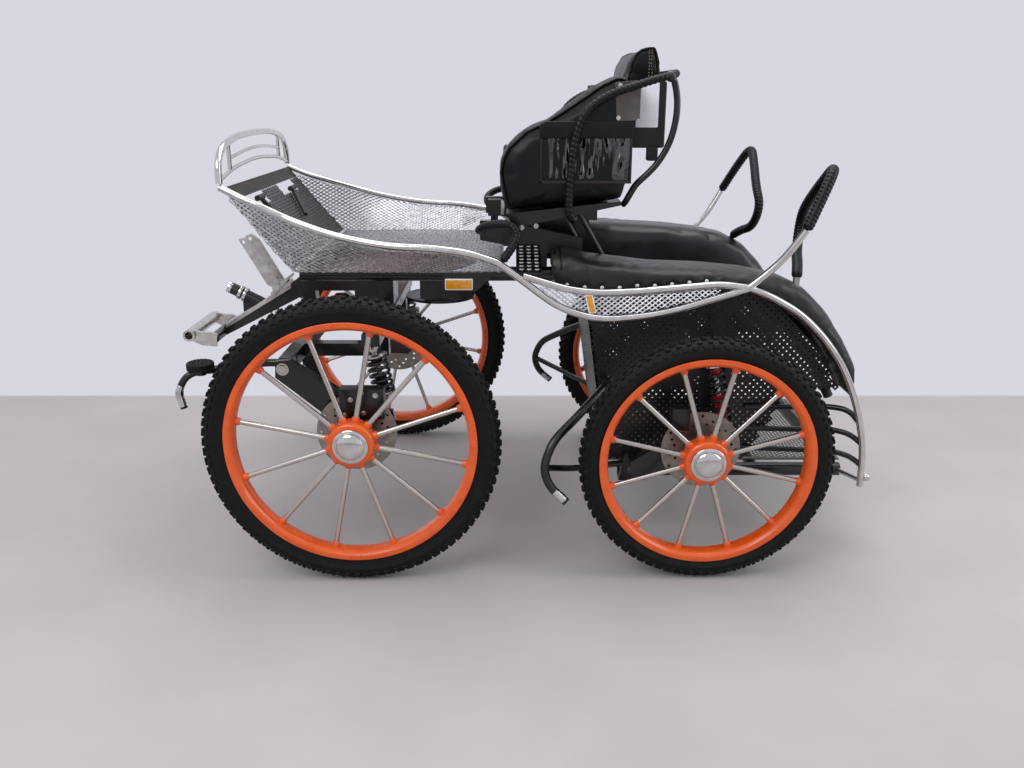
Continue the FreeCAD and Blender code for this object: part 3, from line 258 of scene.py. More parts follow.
# knob rows: lean from the crown in degrees, shift in pitches, length, width
knobRows = ((-11, 0.0, 0.013, 0.0085), (11, 0.0, 0.013, 0.0085), (-35, 0.5, 0.012, 0.0095),
            (35, 0.5, 0.012, 0.0095), (-62, 0.0, 0.015, 0.012), (62, 0.0, 0.015, 0.012))
rimLook = {"half": 0.030, "band": 0.025, "lip": 0.004, "well": 0.012, "corner": 0.0022}
hubLook = {"radius": 0.062, "half": 0.028, "chamfer": 0.006, "sleeve": 0.034, "bore": 0.0152, "disc": 0.0775}
socketLook = {"count": 12, "depth": 0.015, "chamfer": 0.0012, "rim": (0.0125, 0.0088),
              "hub": (0.0118, 0.0098)}
wheelRows = (
    # end, wheel radius, rim radius, half track, spoke phase, knobs round the tyre
    ("front", 0.400, 0.336, 0.557, 18.6, 88), ("rear", 0.345, 0.291, 0.547, 16.5, 76),
)


def knobShape(length, width):
    bm = bmesh.new()
    bmesh.ops.create_cube(bm, size=1)
    top = [edge for edge in bm.edges if all(vert.co.z > 0 for vert in edge.verts)]
    taper = (tyreLook["taper"], tyreLook["taper"], 1)
    bmesh.ops.scale(bm, vec=taper, verts=[vert for vert in bm.verts if vert.co.z > 0])
    bmesh.ops.scale(bm, vec=(length, width, tyreLook["rise"] + 0.003), verts=bm.verts)
    roundOff(bm, top, tyreLook["chamfer"], 1)
    bmesh.ops.translate(bm, vec=(0, 0, tyreLook["section"] + tyreLook["rise"] / 2 - 0.0015),
                        verts=bm.verts)
    return asShape(bm)


def tyreMesh(wheelRadius, rimRadius, pitches):
    bm = bmesh.new()
    section, wrap = tyreLook["section"], tyreLook["wrap"]
    middle = wheelRadius - tyreLook["rise"] - section
    bead, beadHalf, seat = rimRadius - tyreLook["beadDrop"], tyreLook["beadHalf"], rimRadius + 0.002
    profile = [(bead, -beadHalf), (seat, -beadHalf - 0.0007)]
    for i in range(25):
        turn = math.radians(wrap * (i / 12 - 1))
        ridge = tyreLook["ridge"] if i in tyreLook["ridges"] else 0.0
        radius = middle + section * math.cos(turn)
        profile.append((max(radius, seat + 0.001 + 0.0012 * (i in (0, 24))),
                        (tyreLook["width"] + ridge) * math.sin(turn)))
    profile += [(seat, beadHalf + 0.0007), (bead, beadHalf)]
    lathe(bm, profile, tyreLook["steps"])
    for lean, shift, length, width in knobRows:
        knob = knobShape(length, width)
        lift = Matrix.Translation((0, 0, middle)) @ Matrix.Rotation(math.radians(lean), 4, "X")
        for i in range(pitches):
            turn = Matrix.Rotation(math.tau * (i + shift) / pitches, 4, "Y")
            stamp(bm, knob, turn @ lift)
        bpy.data.meshes.remove(knob)
    return bm


def addSockets(bm, rimRadius, phase):
    # at each spoke, a socket that faces in from the rim and one that faces out from the hub
    depth = socketLook["depth"]
    rows = ((rimRadius - rimLook["band"] + 0.002, -1, *socketLook["rim"]),
            (hubLook["radius"] - 0.003, 1, *socketLook["hub"]))
    for i in range(socketLook["count"]):
        turn = Matrix.Rotation(-math.radians(phase) - math.tau * i / socketLook["count"], 4, "Y")
        for start, out, wide, narrow in rows:
            along = Matrix.Rotation(out * math.pi / 2, 4, "Y")
            along = turn @ Matrix.Translation((start + out * depth / 2, 0, 0)) @ along
            made = bmesh.ops.create_cone(bm, cap_ends=True, segments=20, radius1=wide, radius2=narrow,
                                         depth=depth, matrix=along)
            ends = [edge for edge in {e for vert in made["verts"] for e in vert.link_edges}
                    if edge.calc_face_angle(0) > 1.0]
            roundOff(bm, ends, socketLook["chamfer"], 2)


def rimMesh(rimRadius, phase):
    bm = bmesh.new()
    inner, bed, half = rimRadius - rimLook["band"], rimRadius - rimLook["well"], rimLook["half"]
    lip = half - rimLook["lip"]
    lathe(bm, [(inner, -0.012), (inner + 0.0025, -0.020), (inner + 0.010, -half), (rimRadius, -half),
               (rimRadius, -lip), (bed, -lip), (bed, lip), (rimRadius, lip), (rimRadius, half),
               (inner + 0.010, half), (inner + 0.0025, 0.020), (inner, 0.012)], 144, rimLook["corner"], 3)
    hub, half, cut, bore = (hubLook[key] for key in ("radius", "half", "chamfer", "bore"))
    lathe(bm, [(bore, -half), (hub - cut, -half), (hub, -half + cut), (hub, half - cut), (hub - cut, half),
               (bore, half)], 96, 0.0018)
    addSockets(bm, rimRadius, phase)
    return bm


capLook = {"flange": 0.047, "dome": 0.0365, "rise": 0.0115, "shoulder": 0.0085, "arc": (12, 78), "parts": 8}


def capMesh():
    # a flange, a groove and a flattened dome
    bm = bmesh.new()
    base, flange, dome, shoulder = hubLook["half"], capLook["flange"], capLook["dome"], capLook["shoulder"]
    profile = [(0.0, base), (flange, base), (flange, base + 0.007), (flange - 0.0015, base + shoulder),
               (0.0400, base + 0.0095), (0.0385, base + 0.0080), (dome, base + 0.0080),
               (0.0355, base + 0.0105)]
    start, span = capLook["arc"]
    for i in range(capLook["parts"] + 1):
        turn = math.radians(start + span * i / capLook["parts"])
        profile.append((dome * math.cos(turn), base + shoulder + capLook["rise"] * math.sin(turn)))
    lathe(bm, profile, 72)
    bmesh.ops.remove_doubles(bm, verts=bm.verts, dist=1e-6)
    return bm


sleeveLook = {"gap": 0.0005, "bolts": 6, "boltRing": 0.026, "bolt": 0.0055, "boltOut": 0.0065,
              "boltLong": 0.005}


def sleeveMesh():
    # the sleeve between hub and disc, and the bolts that hold the disc on it
    bm = bmesh.new()
    sleeve, half, disc, bore = (hubLook[key] for key in ("sleeve", "half", "disc", "bore"))
    inner = -half - sleeveLook["gap"]
    lathe(bm, [(bore, -disc), (sleeve, -disc), (sleeve, inner), (bore, inner)], 60, 0.001, 1)
    lying = Matrix.Rotation(math.pi / 2, 4, "X")
    for i in range(sleeveLook["bolts"]):
        turn = Matrix.Rotation(math.tau * i / sleeveLook["bolts"], 4, "Y")
        spot = Matrix.Translation((sleeveLook["boltRing"], -disc - sleeveLook["boltOut"], 0))
        bmesh.ops.create_cone(bm, cap_ends=True, segments=6, radius1=sleeveLook["bolt"],
                              radius2=sleeveLook["bolt"], depth=sleeveLook["boltLong"],
                              matrix=turn @ spot @ lying)
    return bm


for end, wheelRadius, rimRadius, track, phase, pitches in wheelRows:
    for label, side in bothSides:
        name = end + "_" + label.lower()
        place = Matrix.Translation((axles[end], side * track, wheelRadius)) @ Matrix.Diagonal((1, side, 1, 1))
        for piece, bm, finish, node in (
                ("tyre", tyreMesh(wheelRadius, rimRadius, pitches), "tyreRubber", "tyre_"),
                ("rimAndHub", rimMesh(rimRadius, phase), "orangeEnamel", "rim_and_hub_"),
                ("hubCap", capMesh(), "polishedSteel", "hub_cap_"),
                ("discSleeve", sleeveMesh(), "bareSteel", None)):
            bmesh.ops.transform(bm, matrix=place, verts=bm.verts)
            makePiece(bm, piece + end.title() + label, finish, [node + name] if node else (),
                      body="wheel_" + name)
print("wheels made")

# mesh sides

# columns: x, low z, low |y|, high z, high |y|
basketRows = behind("front", (
    (-0.326, 1.018, 0.377, 1.028, 0.379), (-0.290, 0.980, 0.381, 1.013, 0.386),
    (-0.220, 0.891, 0.388, 0.989, 0.413), (-0.165, 0.830, 0.395, 0.969, 0.443),
    (-0.040, 0.830, 0.398, 0.931, 0.483), (0.100, 0.830, 0.400, 0.903, 0.498),
    (0.249, 0.830, 0.400, 0.897, 0.498), (0.300, 0.850, 0.440, 0.889, 0.498),
    (0.335, 0.872, 0.480, 0.882, 0.498)))
boatRows = behind("front", (
    (0.500, 0.800, 0.500, 0.814, 0.500), (0.551, 0.762, 0.501, 0.799, 0.501),
    (0.657, 0.733, 0.501, 0.784, 0.501)))
boatRows += behind("rear", (
    (-0.190, 0.738, 0.495, 0.786, 0.491), (-0.059, 0.764, 0.483, 0.795, 0.481),
    (0.021, 0.786, 0.475, 0.801, 0.473)))
meshLook = {"strand": 0.0028, "lean": 0.0013, "gauge": 0.0012, "tall": 0.19, "over": 0.004}


def sectionAt(rows, x):
    # a row worked out between the two rows on either side of x
    x = min(max(x, rows[0][0]), rows[-1][0] - 1e-6)
    for a, b in zip(rows, rows[1:]):
        if a[0] <= x < b[0]:
            share = (x - a[0]) / (b[0] - a[0])
            return [p + (q - p) * share for p, q in zip(a, b)]


def diamonds(low, high, cell, keep):
    # a flat field of diamond faces from corner low to corner high, wherever keep says so
    bm = bmesh.new()
    count = math.ceil((high[0] - low[0]) / cell[0] + (high[1] - low[1]) / cell[1]) + 2
    bmesh.ops.create_grid(bm, x_segments=count, y_segments=count, size=0.5)
    stretch = Matrix.Diagonal((cell[0] * count / math.sqrt(2), cell[1] * count / math.sqrt(2), 1, 1))
    centre = Matrix.Translation(((low[0] + high[0]) / 2, (low[1] + high[1]) / 2, 0))
    bmesh.ops.transform(bm, matrix=centre @ stretch @ Matrix.Rotation(math.pi / 4, 4, "Z"), verts=bm.verts)
    spots = [(face, *face.calc_center_median().xy) for face in bm.faces]
    spare = [face for face, u, v in spots
             if not (low[0] < u < high[0] and low[1] < v < high[1] and keep(u, v))]
    bmesh.ops.delete(bm, geom=spare, context="FACES")
    return bm


def layOut(bm, place):
    for vert in bm.verts:
        vert.co = place(*vert.co)


def strandSheet(low, high, cell, keep, place, look):
    # cut and drawn sheet: the strands lean in turn, which is what makes the mesh glint
    bm = diamonds(low, high, cell, keep)
    holes = list(bm.faces)
    bmesh.ops.inset_individual(bm, faces=holes, thickness=look["strand"] / 2, use_even_offset=True)
    for face in holes:
        middle = face.calc_center_median().y
        for vert in face.verts:
            if abs(vert.co.y - middle) > 0.001:
                vert.co.z = math.copysign(look["lean"], vert.co.y - middle)
    bmesh.ops.delete(bm, geom=holes, context="FACES_ONLY")
    layOut(bm, place)
    bmesh.ops.solidify(bm, geom=list(bm.faces), thickness=look["gauge"])
    return bm


def panelMesh(rows, cell, fold):
    # mesh that leans as its rows do, its lower edge folded under
    base = min(row[1] for row in rows)

    def slope(x):
        x, lowZ, lowY, highZ, highY = sectionAt(rows, x)
        return lowZ, lowY, highZ, Vector((0, highY - lowY, highZ - lowZ)).normalized()

    def keep(u, v):
        lowZ, lowY, highZ, way = slope(u)
        return lowZ - fold < base + v * way.z < highZ + meshLook["over"]

    def place(u, v, w):
        lowZ, lowY, highZ, way = slope(u)
        z = base + v * way.z
        under = max(lowZ - z, 0)
        z = min(max(z, lowZ), highZ)
        return Vector((u, lowY + (z - lowZ) * way.y / way.z - under + way.z * w, z - way.y * w))

    return strandSheet((rows[0][0], -fold), (rows[-1][0], meshLook["tall"]), cell, keep, place, meshLook)


for label, side in bothSides:
    for piece, rows, cell, fold in (("basketMesh", basketRows, (0.0195, 0.0125), 0.011),
                                    ("boatMesh", boatRows, (0.0165, 0.0125), 0.0)):
        bm = panelMesh(rows, cell, fold)
        bmesh.ops.scale(bm, vec=(1, side, 1), verts=bm.verts)
        makePiece(bm, piece + label, "zincMesh", ["mesh_panels"], 20)
print("mesh sides made")

# floors and perforated panels


def inside(outline, x, y):
    odd = False
    for (ax, ay), (bx, by) in zip(outline, outline[1:] + outline[:1]):
        if (ay > y) != (by > y) and x < ax + (y - ay) * (bx - ax) / (by - ay):
            odd = not odd
    return odd


def holedSheet(outline, look, place):
    # round holes in staggered rows, and a plain strip, a little thicker, along the outline
    pitch, hole, margin, gauge = (look[key] for key in ("pitch", "hole", "margin", "gauge"))
    strip, extra = bmesh.new(), 0.0003
    face = strip.faces.new([strip.verts.new((x, y, 0)) for x, y in outline])
    bmesh.ops.recalc_face_normals(strip, faces=[face])
    bmesh.ops.inset_region(strip, faces=[face], thickness=margin, use_even_offset=True)
    bmesh.ops.delete(strip, geom=[face], context="FACES_ONLY")
    bmesh.ops.solidify(strip, geom=list(strip.faces), thickness=gauge + 2 * extra)
    bmesh.ops.translate(strip, vec=(0, 0, extra), verts=strip.verts)
    low, high = ([pick(spot[i] for spot in outline) for i in (0, 1)] for pick in (min, max))
    reach = [(dx * margin * 0.5, dy * margin * 0.5) for dx in (-1, 1) for dy in (-1, 1)]
    bm = diamonds(low, high, (pitch, pitch),
                  lambda u, v: all(inside(outline, u + dx, v + dy) for dx, dy in reach))
    holes = list(bm.faces)
    bmesh.ops.inset_individual(bm, faces=holes, thickness=(pitch / math.sqrt(2) - hole) / 2,
                               use_even_offset=True)
    corners = list({vert for face in holes for vert in face.verts})
    bmesh.ops.delete(bm, geom=holes, context="FACES_ONLY")
    roundOff(bm, corners, hole * 0.29, 1, "VERTICES")
    bmesh.ops.solidify(bm, geom=list(bm.faces), thickness=gauge)
    addPart(bm, strip)
    layOut(bm, place)
    return bm


wellLook = {"pitch": 0.0215, "hole": 0.0050, "margin": 0.014, "gauge": 0.0016, "y": 0.3215, "half": 0.319,
            "top": 0.674, "foot": 0.260}


def wallX(z):
    # the well's front wall leans: 43 mm in 309 mm
    return axles["front"] + 0.640 + 0.043 * (wellLook["top"] - z) / 0.309


wellOutline = [(wallX(0.790) + 0.010, 0.790), (wallX(0.660), wellLook["top"]), (wallX(0.365), 0.365),
               (wallX(wellLook["foot"]), 0.255)]
wellOutline += behind("rear", ((0.170, 0.255), (0.285, 0.470), (0.426, 0.470), (0.385, 0.5634),
                               (0.330, 0.6374), (0.270, 0.6964), (0.200, 0.7454), (0.109, 0.7874),
                               (0.0, 0.8114), (-0.149, 0.8054)))
for label, side in bothSides:
    bm = holedSheet(wellOutline, wellLook, lambda u, v, w: Vector((u, side * (wellLook["y"] - w), v)))
    makePiece(bm, "wellSide" + label, "blackSheet", ["well_panels"], 30)
half, top, foot = wellLook["half"], wellLook["top"], wellLook["foot"]
lean = Vector((wallX(foot) - wallX(top), 0, foot - top))
bm = holedSheet([(-half, 0.0), (half, 0.0), (half, lean.length), (-half, lean.length)], wellLook,
                lambda u, v, w: Vector((wallX(top) + 0.002 - w, u, top)) + lean.normalized() * v)
makePiece(bm, "wellFront", "blackSheet", ["well_panels"], 30)

floorLook = {"pitch": 0.0225, "hole": 0.0120, "margin": 0.018, "gauge": 0.003, "z": 0.8295}
floorOutline = behind("front", ((-0.161, -0.395), (0.400, -0.395), (0.400, 0.395), (-0.161, 0.395)))
bm = holedSheet(floorOutline, floorLook, lambda u, v, w: Vector((u, v, floorLook["z"] + w)))
makePiece(bm, "basketFloor", "zincMesh", ["basket_floor"], 30)

# the well's floor: mesh in a frame of four flat bars, in the darker grey sheet finish rather than zinc, as
# painted shade deep in the well
treadLook = {"cell": (0.022, 0.013), "strand": 0.0028, "lean": 0.0014, "gauge": 0.0014, "z": 0.2372,
             "bar": 0.018, "outer": 0.2797, "inner": 0.262, "thick": 0.0038}
x0, x1 = wallX(0.240) + 0.012, axles["rear"] + 0.462
bar, outer, inner = treadLook["bar"], treadLook["outer"], treadLook["inner"]
bm = strandSheet((x0 + 0.002, -0.278), (x1 - 0.002, 0.278), treadLook["cell"], lambda u, v: True,
                 lambda u, v, w: Vector((u, v, treadLook["z"] + w)), treadLook)
for ax, bx, ay, by in ((x0, x0 + bar, -outer, outer), (x1 - bar, x1, -outer, outer),
                       (x0 + bar, x1 - bar, -outer, -inner), (x0 + bar, x1 - bar, inner, outer)):
    centre = Matrix.Translation(((ax + bx) / 2, (ay + by) / 2, treadLook["z"] - 0.0003))
    bmesh.ops.create_cube(bm, size=1, matrix=centre
                          @ Matrix.Diagonal((bx - ax, by - ay, treadLook["thick"], 1)))
makePiece(bm, "wellFloor", "greySheet", ["well_floor"], 20)

# the footboard: a plain strip at the top, then holed sheet with two windows
boardLook = {"low": (-0.165, 0.830, 0.391), "high": (-0.345, 1.050, 0.373),
             "windows": ((0.090, 0.270), (-0.270, -0.090)), "windowTop": 0.046, "windowFoot": 0.079,
             "pitch": 0.020, "hole": 0.0088, "margin": 0.013, "gauge": 0.0018, "strip": 0.0028, "end": 0.004}
low, high = boardLook["low"], boardLook["high"]
foot = Vector((axles["front"] + low[0], 0, low[1]))
rise = Vector((high[0] - low[0], 0, high[1] - low[1]))
boardNormal = Vector((rise.z, 0, -rise.x)).normalized()
length, up = rise.length, rise.normalized()


def onBoard(u, v, w):
    return foot + up * v + Vector((0, u, 0)) + boardNormal * (0.0015 + w)


def boardHalf(v):
    return low[2] + (high[2] - low[2]) * v / length


top, sill = length - boardLook["windowTop"], length - boardLook["windowFoot"]
outline = [(-boardHalf(0), 0.0), (boardHalf(0), 0.0), (boardHalf(top), top)]
for left, right in boardLook["windows"]:
    outline += [(right, top), (right, sill), (left, sill), (left, top)]
outline.append((-boardHalf(top), top))
bm = holedSheet(outline, boardLook, onBoard)
makePiece(bm, "footboardSheet", "blackSheet", ["footboard"], 30)
bm, end = bmesh.new(), length - boardLook["end"]
strip = ((-boardHalf(top), top), (boardHalf(top), top), (boardHalf(length), end), (-boardHalf(length), end))
face = bm.faces.new([bm.verts.new((u, v, 0)) for u, v in strip])
bmesh.ops.solidify(bm, geom=[face], thickness=boardLook["strip"])
roundOff(bm, list(bm.edges), 0.0008, 2)
layOut(bm, onBoard)
makePiece(bm, "footboardStrip", "greySheet", ["footboard"], 30)
print("floors and panels made")

# wrapped pieces; routes and outlines are in millimetres: behind an axle, out from the middle, up


def atFront(x, y, z):
    return Vector((axles["front"] + x / 1000, y / 1000, z / 1000))


def atRear(x, y, z):
    return Vector((axles["rear"] + x / 1000, y / 1000, z / 1000))


def readRoute(points):
    # a smooth line drawn by a curve through the route's points
    curve = bpy.data.curves.new("route", "CURVE")
    curve.dimensions = "3D"
    spline = curve.splines.new("NURBS")
    spline.points.add(len(points) - 1)
    for spot, point in zip(spline.points, points):
        spot.co = (*point, 1)
    spline.order_u = 3
    spline.use_endpoint_u = True
    spline.resolution_u = 16
    holder = bpy.data.objects.new("route", curve)
    mesh = bpy.data.meshes.new_from_object(holder)
    line = [vert.co.copy() for vert in mesh.vertices]
    bpy.data.objects.remove(holder)
    bpy.data.meshes.remove(mesh)
    return line


def evenLine(line, step):
    # the same line with its points at even distances
    run = [0.0]
    for a, b in zip(line, line[1:]):
        run.append(run[-1] + (b - a).length)
    count = max(2, round(run[-1] / step))
    spots, at = [], 0
    for i in range(count + 1):
        want = run[-1] * i / count
        while at < len(line) - 2 and run[at + 1] < want:
            at += 1
        share = (want - run[at]) / max(run[at + 1] - run[at], 1e-9)
        spots.append(line[at].lerp(line[at + 1], min(max(share, 0), 1)))
    return spots, run[-1] / count


def rollTube(bm, line, radius, step, around=16, swell=None):
    # a flat grid rolled round a line, its ends domed; swell adds to the radius
    spots, step = evenLine(line, step)
    last = len(spots) - 1
    ways = [(spots[min(i + 1, last)] - spots[max(i - 1, 0)]).normalized() for i in range(last + 1)]
    side, sides = ways[0].orthogonal().normalized(), []
    for way in ways:
        side = (side - way * side.dot(way)).normalized()
        sides.append(side)
    older = set(bm.verts)
    bmesh.ops.create_grid(bm, x_segments=last, y_segments=around, size=0.5)
    fresh = [vert for vert in bm.verts if vert not in older]
    for vert in fresh:
        i, turn = round((vert.co.x + 0.5) * last), (vert.co.y + 0.5) * math.tau
        full = radius + (swell(i * step, turn) if swell else 0.0)
        end = min(i, last - i) * step / radius
        if end < 1:
            full *= math.sqrt(max(0.0, 1 - (1 - end) ** 2))
        vert.co = spots[i] + (sides[i] * math.cos(turn) + ways[i].cross(sides[i]) * math.sin(turn)) * full
    bmesh.ops.remove_doubles(bm, verts=fresh, dist=1e-5)


def sweep(bm, route, radius, step, around=16, swell=None, side=1, at=atFront):
    rollTube(bm, readRoute([at(x, side * y, z) for x, y, z in route]), radius, step, around, swell)


def wound(pitch):
    # thong wound edge to edge: round ridges that climb by one pitch each turn
    def swell(at, turn):
        return wrapLook["ridge"] * math.sqrt(abs(math.sin(math.pi * (at / pitch + turn / math.tau))))

    return swell


wrapLook = {"railPitch": 0.0125, "gripPitch": 0.0105, "ridge": 0.0026, "step": 0.0021, "rail": 0.0078,
            "brace": 0.0085, "collar": 0.0125, "grip": 0.0122, "loop": 0.0094}
railRoute = ((592, 175, 971), (590, 418, 969), (576, 452, 979), (571, 455, 1016), (576, 455, 1102),
             (581, 455, 1163), (596, 455, 1219), (620, 455, 1253), (654, 455, 1276), (688, 454, 1292),
             (735, 452, 1305), (775, 448, 1318), (816, 434, 1328), (842, 396, 1334), (850, 320, 1336))
railRoute += tuple((x, -y, z) for x, y, z in reversed(railRoute))
braceRoute = ((830, 420, 1324), (841, 410, 1296), (846, 410, 1252), (841, 410, 1205), (829, 409, 1161),
              (806, 407, 1119), (779, 404, 1088), (750, 400, 1062), (739, 390, 1040), (726, 374, 1010),
              (721, 360, 1002))
gripRoute = ((226, 495, 955), (268, 470, 1040), (307, 431, 1113), (301, 360, 1066), (290, 265, 990),
             (296, 215, 935), (284, 245, 860), (264, 330, 838), (250, 378, 812))
loopRoute = ((346, 315, 931), (335, 380, 936), (349, 430, 953), (384, 455, 966), (423, 462, 966),
             (443, 470, 944), (428, 484, 909), (400, 493, 874))
bm, step = bmesh.new(), wrapLook["step"]
sweep(bm, railRoute, wrapLook["rail"], step, 14, wound(wrapLook["railPitch"]))
makePiece(bm, "seatRailWrap", "blackLeather", ["seat_rails"], 60)
bm = bmesh.new()
for side in (-1, 1):
    sweep(bm, braceRoute, wrapLook["brace"], 0.006, side=side)
    # the sewn collar where rail and brace meet
    centre, arm = atFront(822, side * 428, 1327), Vector((0.0014, -0.0028 * side, -0.014))
    rollTube(bm, [centre - arm, centre + arm], wrapLook["collar"], 0.003)
makePiece(bm, "seatRailBrace", "blackPowder", ["seat_rails"], 40)
ridges = wound(wrapLook["gripPitch"])
for label, side in bothSides:
    bm = bmesh.new()
    sweep(bm, gripRoute, wrapLook["grip"], step, 16, ridges, side, atRear)
    sweep(bm, loopRoute, wrapLook["loop"], step, 14, ridges, side)
    makePiece(bm, "gripWraps" + label, "blackLeather", ["hand_grips"], 60)
print("wrapped rails and grips made")

# padded pieces: shapes first, one simulation for them all, then seams and studs

padLook = {"voxel": 0.006, "pressure": 4.0, "ticks": 20, "shoulder": 0.034, "rim": 0.42, "rounds": 4,
           "inset": 0.005}
pads = {}


def metres(outline):
    return [(axles["front"] + x / 1000, z / 1000) for x, z in outline]


def box(x0, x1, z0, z1, grow=0, lean=0):
    # a rectangle, grown on every side, its foot shifted by lean
    return ((x0 - grow + lean, z0 - grow), (x1 + grow + lean, z0 - grow), (x1 + grow, z1 + grow),
            (x0 - grow, z1 + grow))


def slab(outline, y0, y1, corner=0, edge=0, segments=3):
    # an outline in the XZ plane as a slab: corner rounds the outline, edge its two rims
    bm = bmesh.new()
    bm.faces.new([bm.verts.new((x, 0, z)) for x, z in outline])
    if corner:
        roundOff(bm, list(bm.verts), corner, segments, "VERTICES", True)
    bm.normal_update()
    bmesh.ops.solidify(bm, geom=list(bm.faces), thickness=y1 - y0)
    bmesh.ops.translate(bm, vec=(0, y0 - min(vert.co.y for vert in bm.verts), 0), verts=bm.verts)
    bmesh.ops.recalc_face_normals(bm, faces=bm.faces)
    if edge:
        rims = [e for e in bm.edges if abs(e.verts[0].co.y - e.verts[1].co.y) < 1e-6]
        roundOff(bm, rims, edge, segments, clamp=True)
    return bm


def plate(outline, side, near, far, corner, edge, segments=3):
    # a slab between two distances from the middle, on one side
    low, high = sorted((side * near, side * far))
    return slab(metres(outline), low, high, corner, edge, segments)


def shrunk(outline, gap):
    # the outline drawn in by about gap on every side
    middle = [sum(spot[i] for spot in outline) / len(outline) for i in (0, 1)]
    out = []
    for spot in outline:
        arm = Vector((spot[0] - middle[0], spot[1] - middle[1]))
        arm *= 1 - gap / arm.length
        out.append((middle[0] + arm.x, middle[1] + arm.y))
    return out


def bakeShape(holder):
    return bpy.data.meshes.new_from_object(holder.evaluated_get(bpy.context.evaluated_depsgraph_get()))


def smoothed(bm):
    bmesh.ops.smooth_vert(bm, verts=bm.verts, factor=0.5, use_axis_x=True, use_axis_y=True, use_axis_z=True)


def crown(mesh, outline, middle):
    # thinner towards the outline, where the cover is drawn over its board
    for vert in mesh.vertices:
        spot, near = Vector((vert.co.x, vert.co.z)), 1.0
        for a, b in zip(outline, outline[1:] + outline[:1]):
            foot, share = geometry.intersect_point_line(spot, Vector(a), Vector(b))
            foot = Vector(a).lerp(Vector(b), min(max(share, 0), 1))
            near = min(near, (spot - foot.xy).length)
        share = 1 - min(near / padLook["shoulder"], 1)
        full = padLook["rim"] + (1 - padLook["rim"]) * math.sqrt(1 - share * share)
        vert.co.y = middle + (vert.co.y - middle) * full


def startPad(name, bm, cap, outline=None, middle=0):
    # an even mesh of the shape, ready to be blown up; cap is the furthest that a point may move
    holder = bpy.data.objects.new(name, asShape(bm))
    scene.collection.objects.link(holder)
    remesh = holder.modifiers.new("remesh", "REMESH")
    remesh.mode = "VOXEL"
    remesh.voxel_size = padLook["voxel"]
    start = bakeShape(holder)
    holder.modifiers.clear()
    holder.data = start
    if outline:
        crown(start, outline, middle)
    rounder = bmesh.new()
    rounder.from_mesh(start)
    for turn in range(padLook["rounds"]):
        smoothed(rounder)
    rounder.to_mesh(start)
    rounder.free()
    cloth = holder.modifiers.new("cloth", "CLOTH").settings
    cloth.use_pressure = True
    cloth.uniform_pressure_force = padLook["pressure"]
    cloth.effector_weights.gravity = 0
    pads[name] = (holder, cap)


def blowPads():
    for tick in range(1, padLook["ticks"] + 1):
        scene.frame_set(tick)
    shapes = {}
    for name, (holder, cap) in pads.items():
        blown = bakeShape(holder)
        for vert, rest in zip(blown.vertices, holder.data.vertices):
            move = vert.co - rest.co
            if move.length > cap:
                vert.co = rest.co + move * (cap / move.length)
        shapes[name] = blown
        bpy.data.objects.remove(holder)
    scene.frame_set(1)
    return shapes


wing = ((403, 990), (386, 1060), (386, 1120), (404, 1160), (447, 1203), (507, 1232), (586, 1280),
        (645, 1316), (690, 1335), (722, 1331), (734, 1305), (733, 1062), (722, 1022), (700, 1016),
        (411, 988))
backrest = ((690, 1112), (705, 1250), (738, 1330), (752, 1372), (772, 1402), (800, 1411), (826, 1409),
            (834, 1370), (832, 1322), (744, 1316), (739, 1112))
cushion = ((392, 1008), (390, 1090), (404, 1108), (690, 1108), (700, 1020))
# outer and inner: a wing's two faces; drop: how much lower the far wing's top is, above a height;
# crest: how many points of an outline its piping follows; rims: the |y| of each piping
seatLook = {"outer": 0.430, "inner": 0.320, "drop": 42, "above": 1148, "cap": 0.007, "back": 0.185,
            "crest": 11, "backCrest": 9, "piping": 0.0034, "rims": (428, 322), "backRim": 182}


def leaned(outline, side):
    drop = seatLook["drop"] if side > 0 else 0
    return [(x, z - (drop if z > seatLook["above"] else 0)) for x, z in outline]


# columns: x, the tray's height, the crest's height, outer |y|, and how far the cover hangs, inside
# beside the well and outside over the tray's edge
padRows = behind("front", (
    (0.525, 0.827, 0.884, 0.460, 0.001, 0.028), (0.570, 0.828, 0.884, 0.466, 0.001, 0.034),
    (0.640, 0.827, 0.866, 0.478, 0.001, 0.038)))
padRows += behind("rear", (
    (-0.149, 0.808, 0.848, 0.474, 0.082, 0.014), (0.0, 0.814, 0.840, 0.462, 0.088, 0.009),
    (0.109, 0.790, 0.830, 0.445, 0.076, 0.009), (0.200, 0.748, 0.812, 0.438, 0.060, 0.009),
    (0.270, 0.699, 0.780, 0.430, 0.044, 0.008), (0.330, 0.640, 0.722, 0.422, 0.030, 0.006),
    (0.385, 0.566, 0.645, 0.414, 0.018, 0.005), (0.437, 0.455, 0.560, 0.405, 0.008, 0.004)))
padEdge = {"inner": 0.265, "cap": 0.005, "steps": 90, "over": 18, "gap": 0.002, "endGap": 0.004,
           "skirt": 0.016, "lip": 0.020, "fuller": 0.014, "shoulder": 0.3, "square": 0.6, "full": 0.75}
studLook = {"pitch": 0.047, "rise": 0.010, "radius": 0.0056, "sink": 0.0035, "flat": 0.55, "outside": 0.37,
            "dent": 0.0085, "width": 0.014, "reach": 0.040, "crease": 0.0018, "perMetre": 48}
seamLook = {"x": (540, 556), "arch": ((458, 845), (430, 880), (365, 892), (300, 880), (272, 850)),
            "radius": 0.0022, "proud": 0.7}


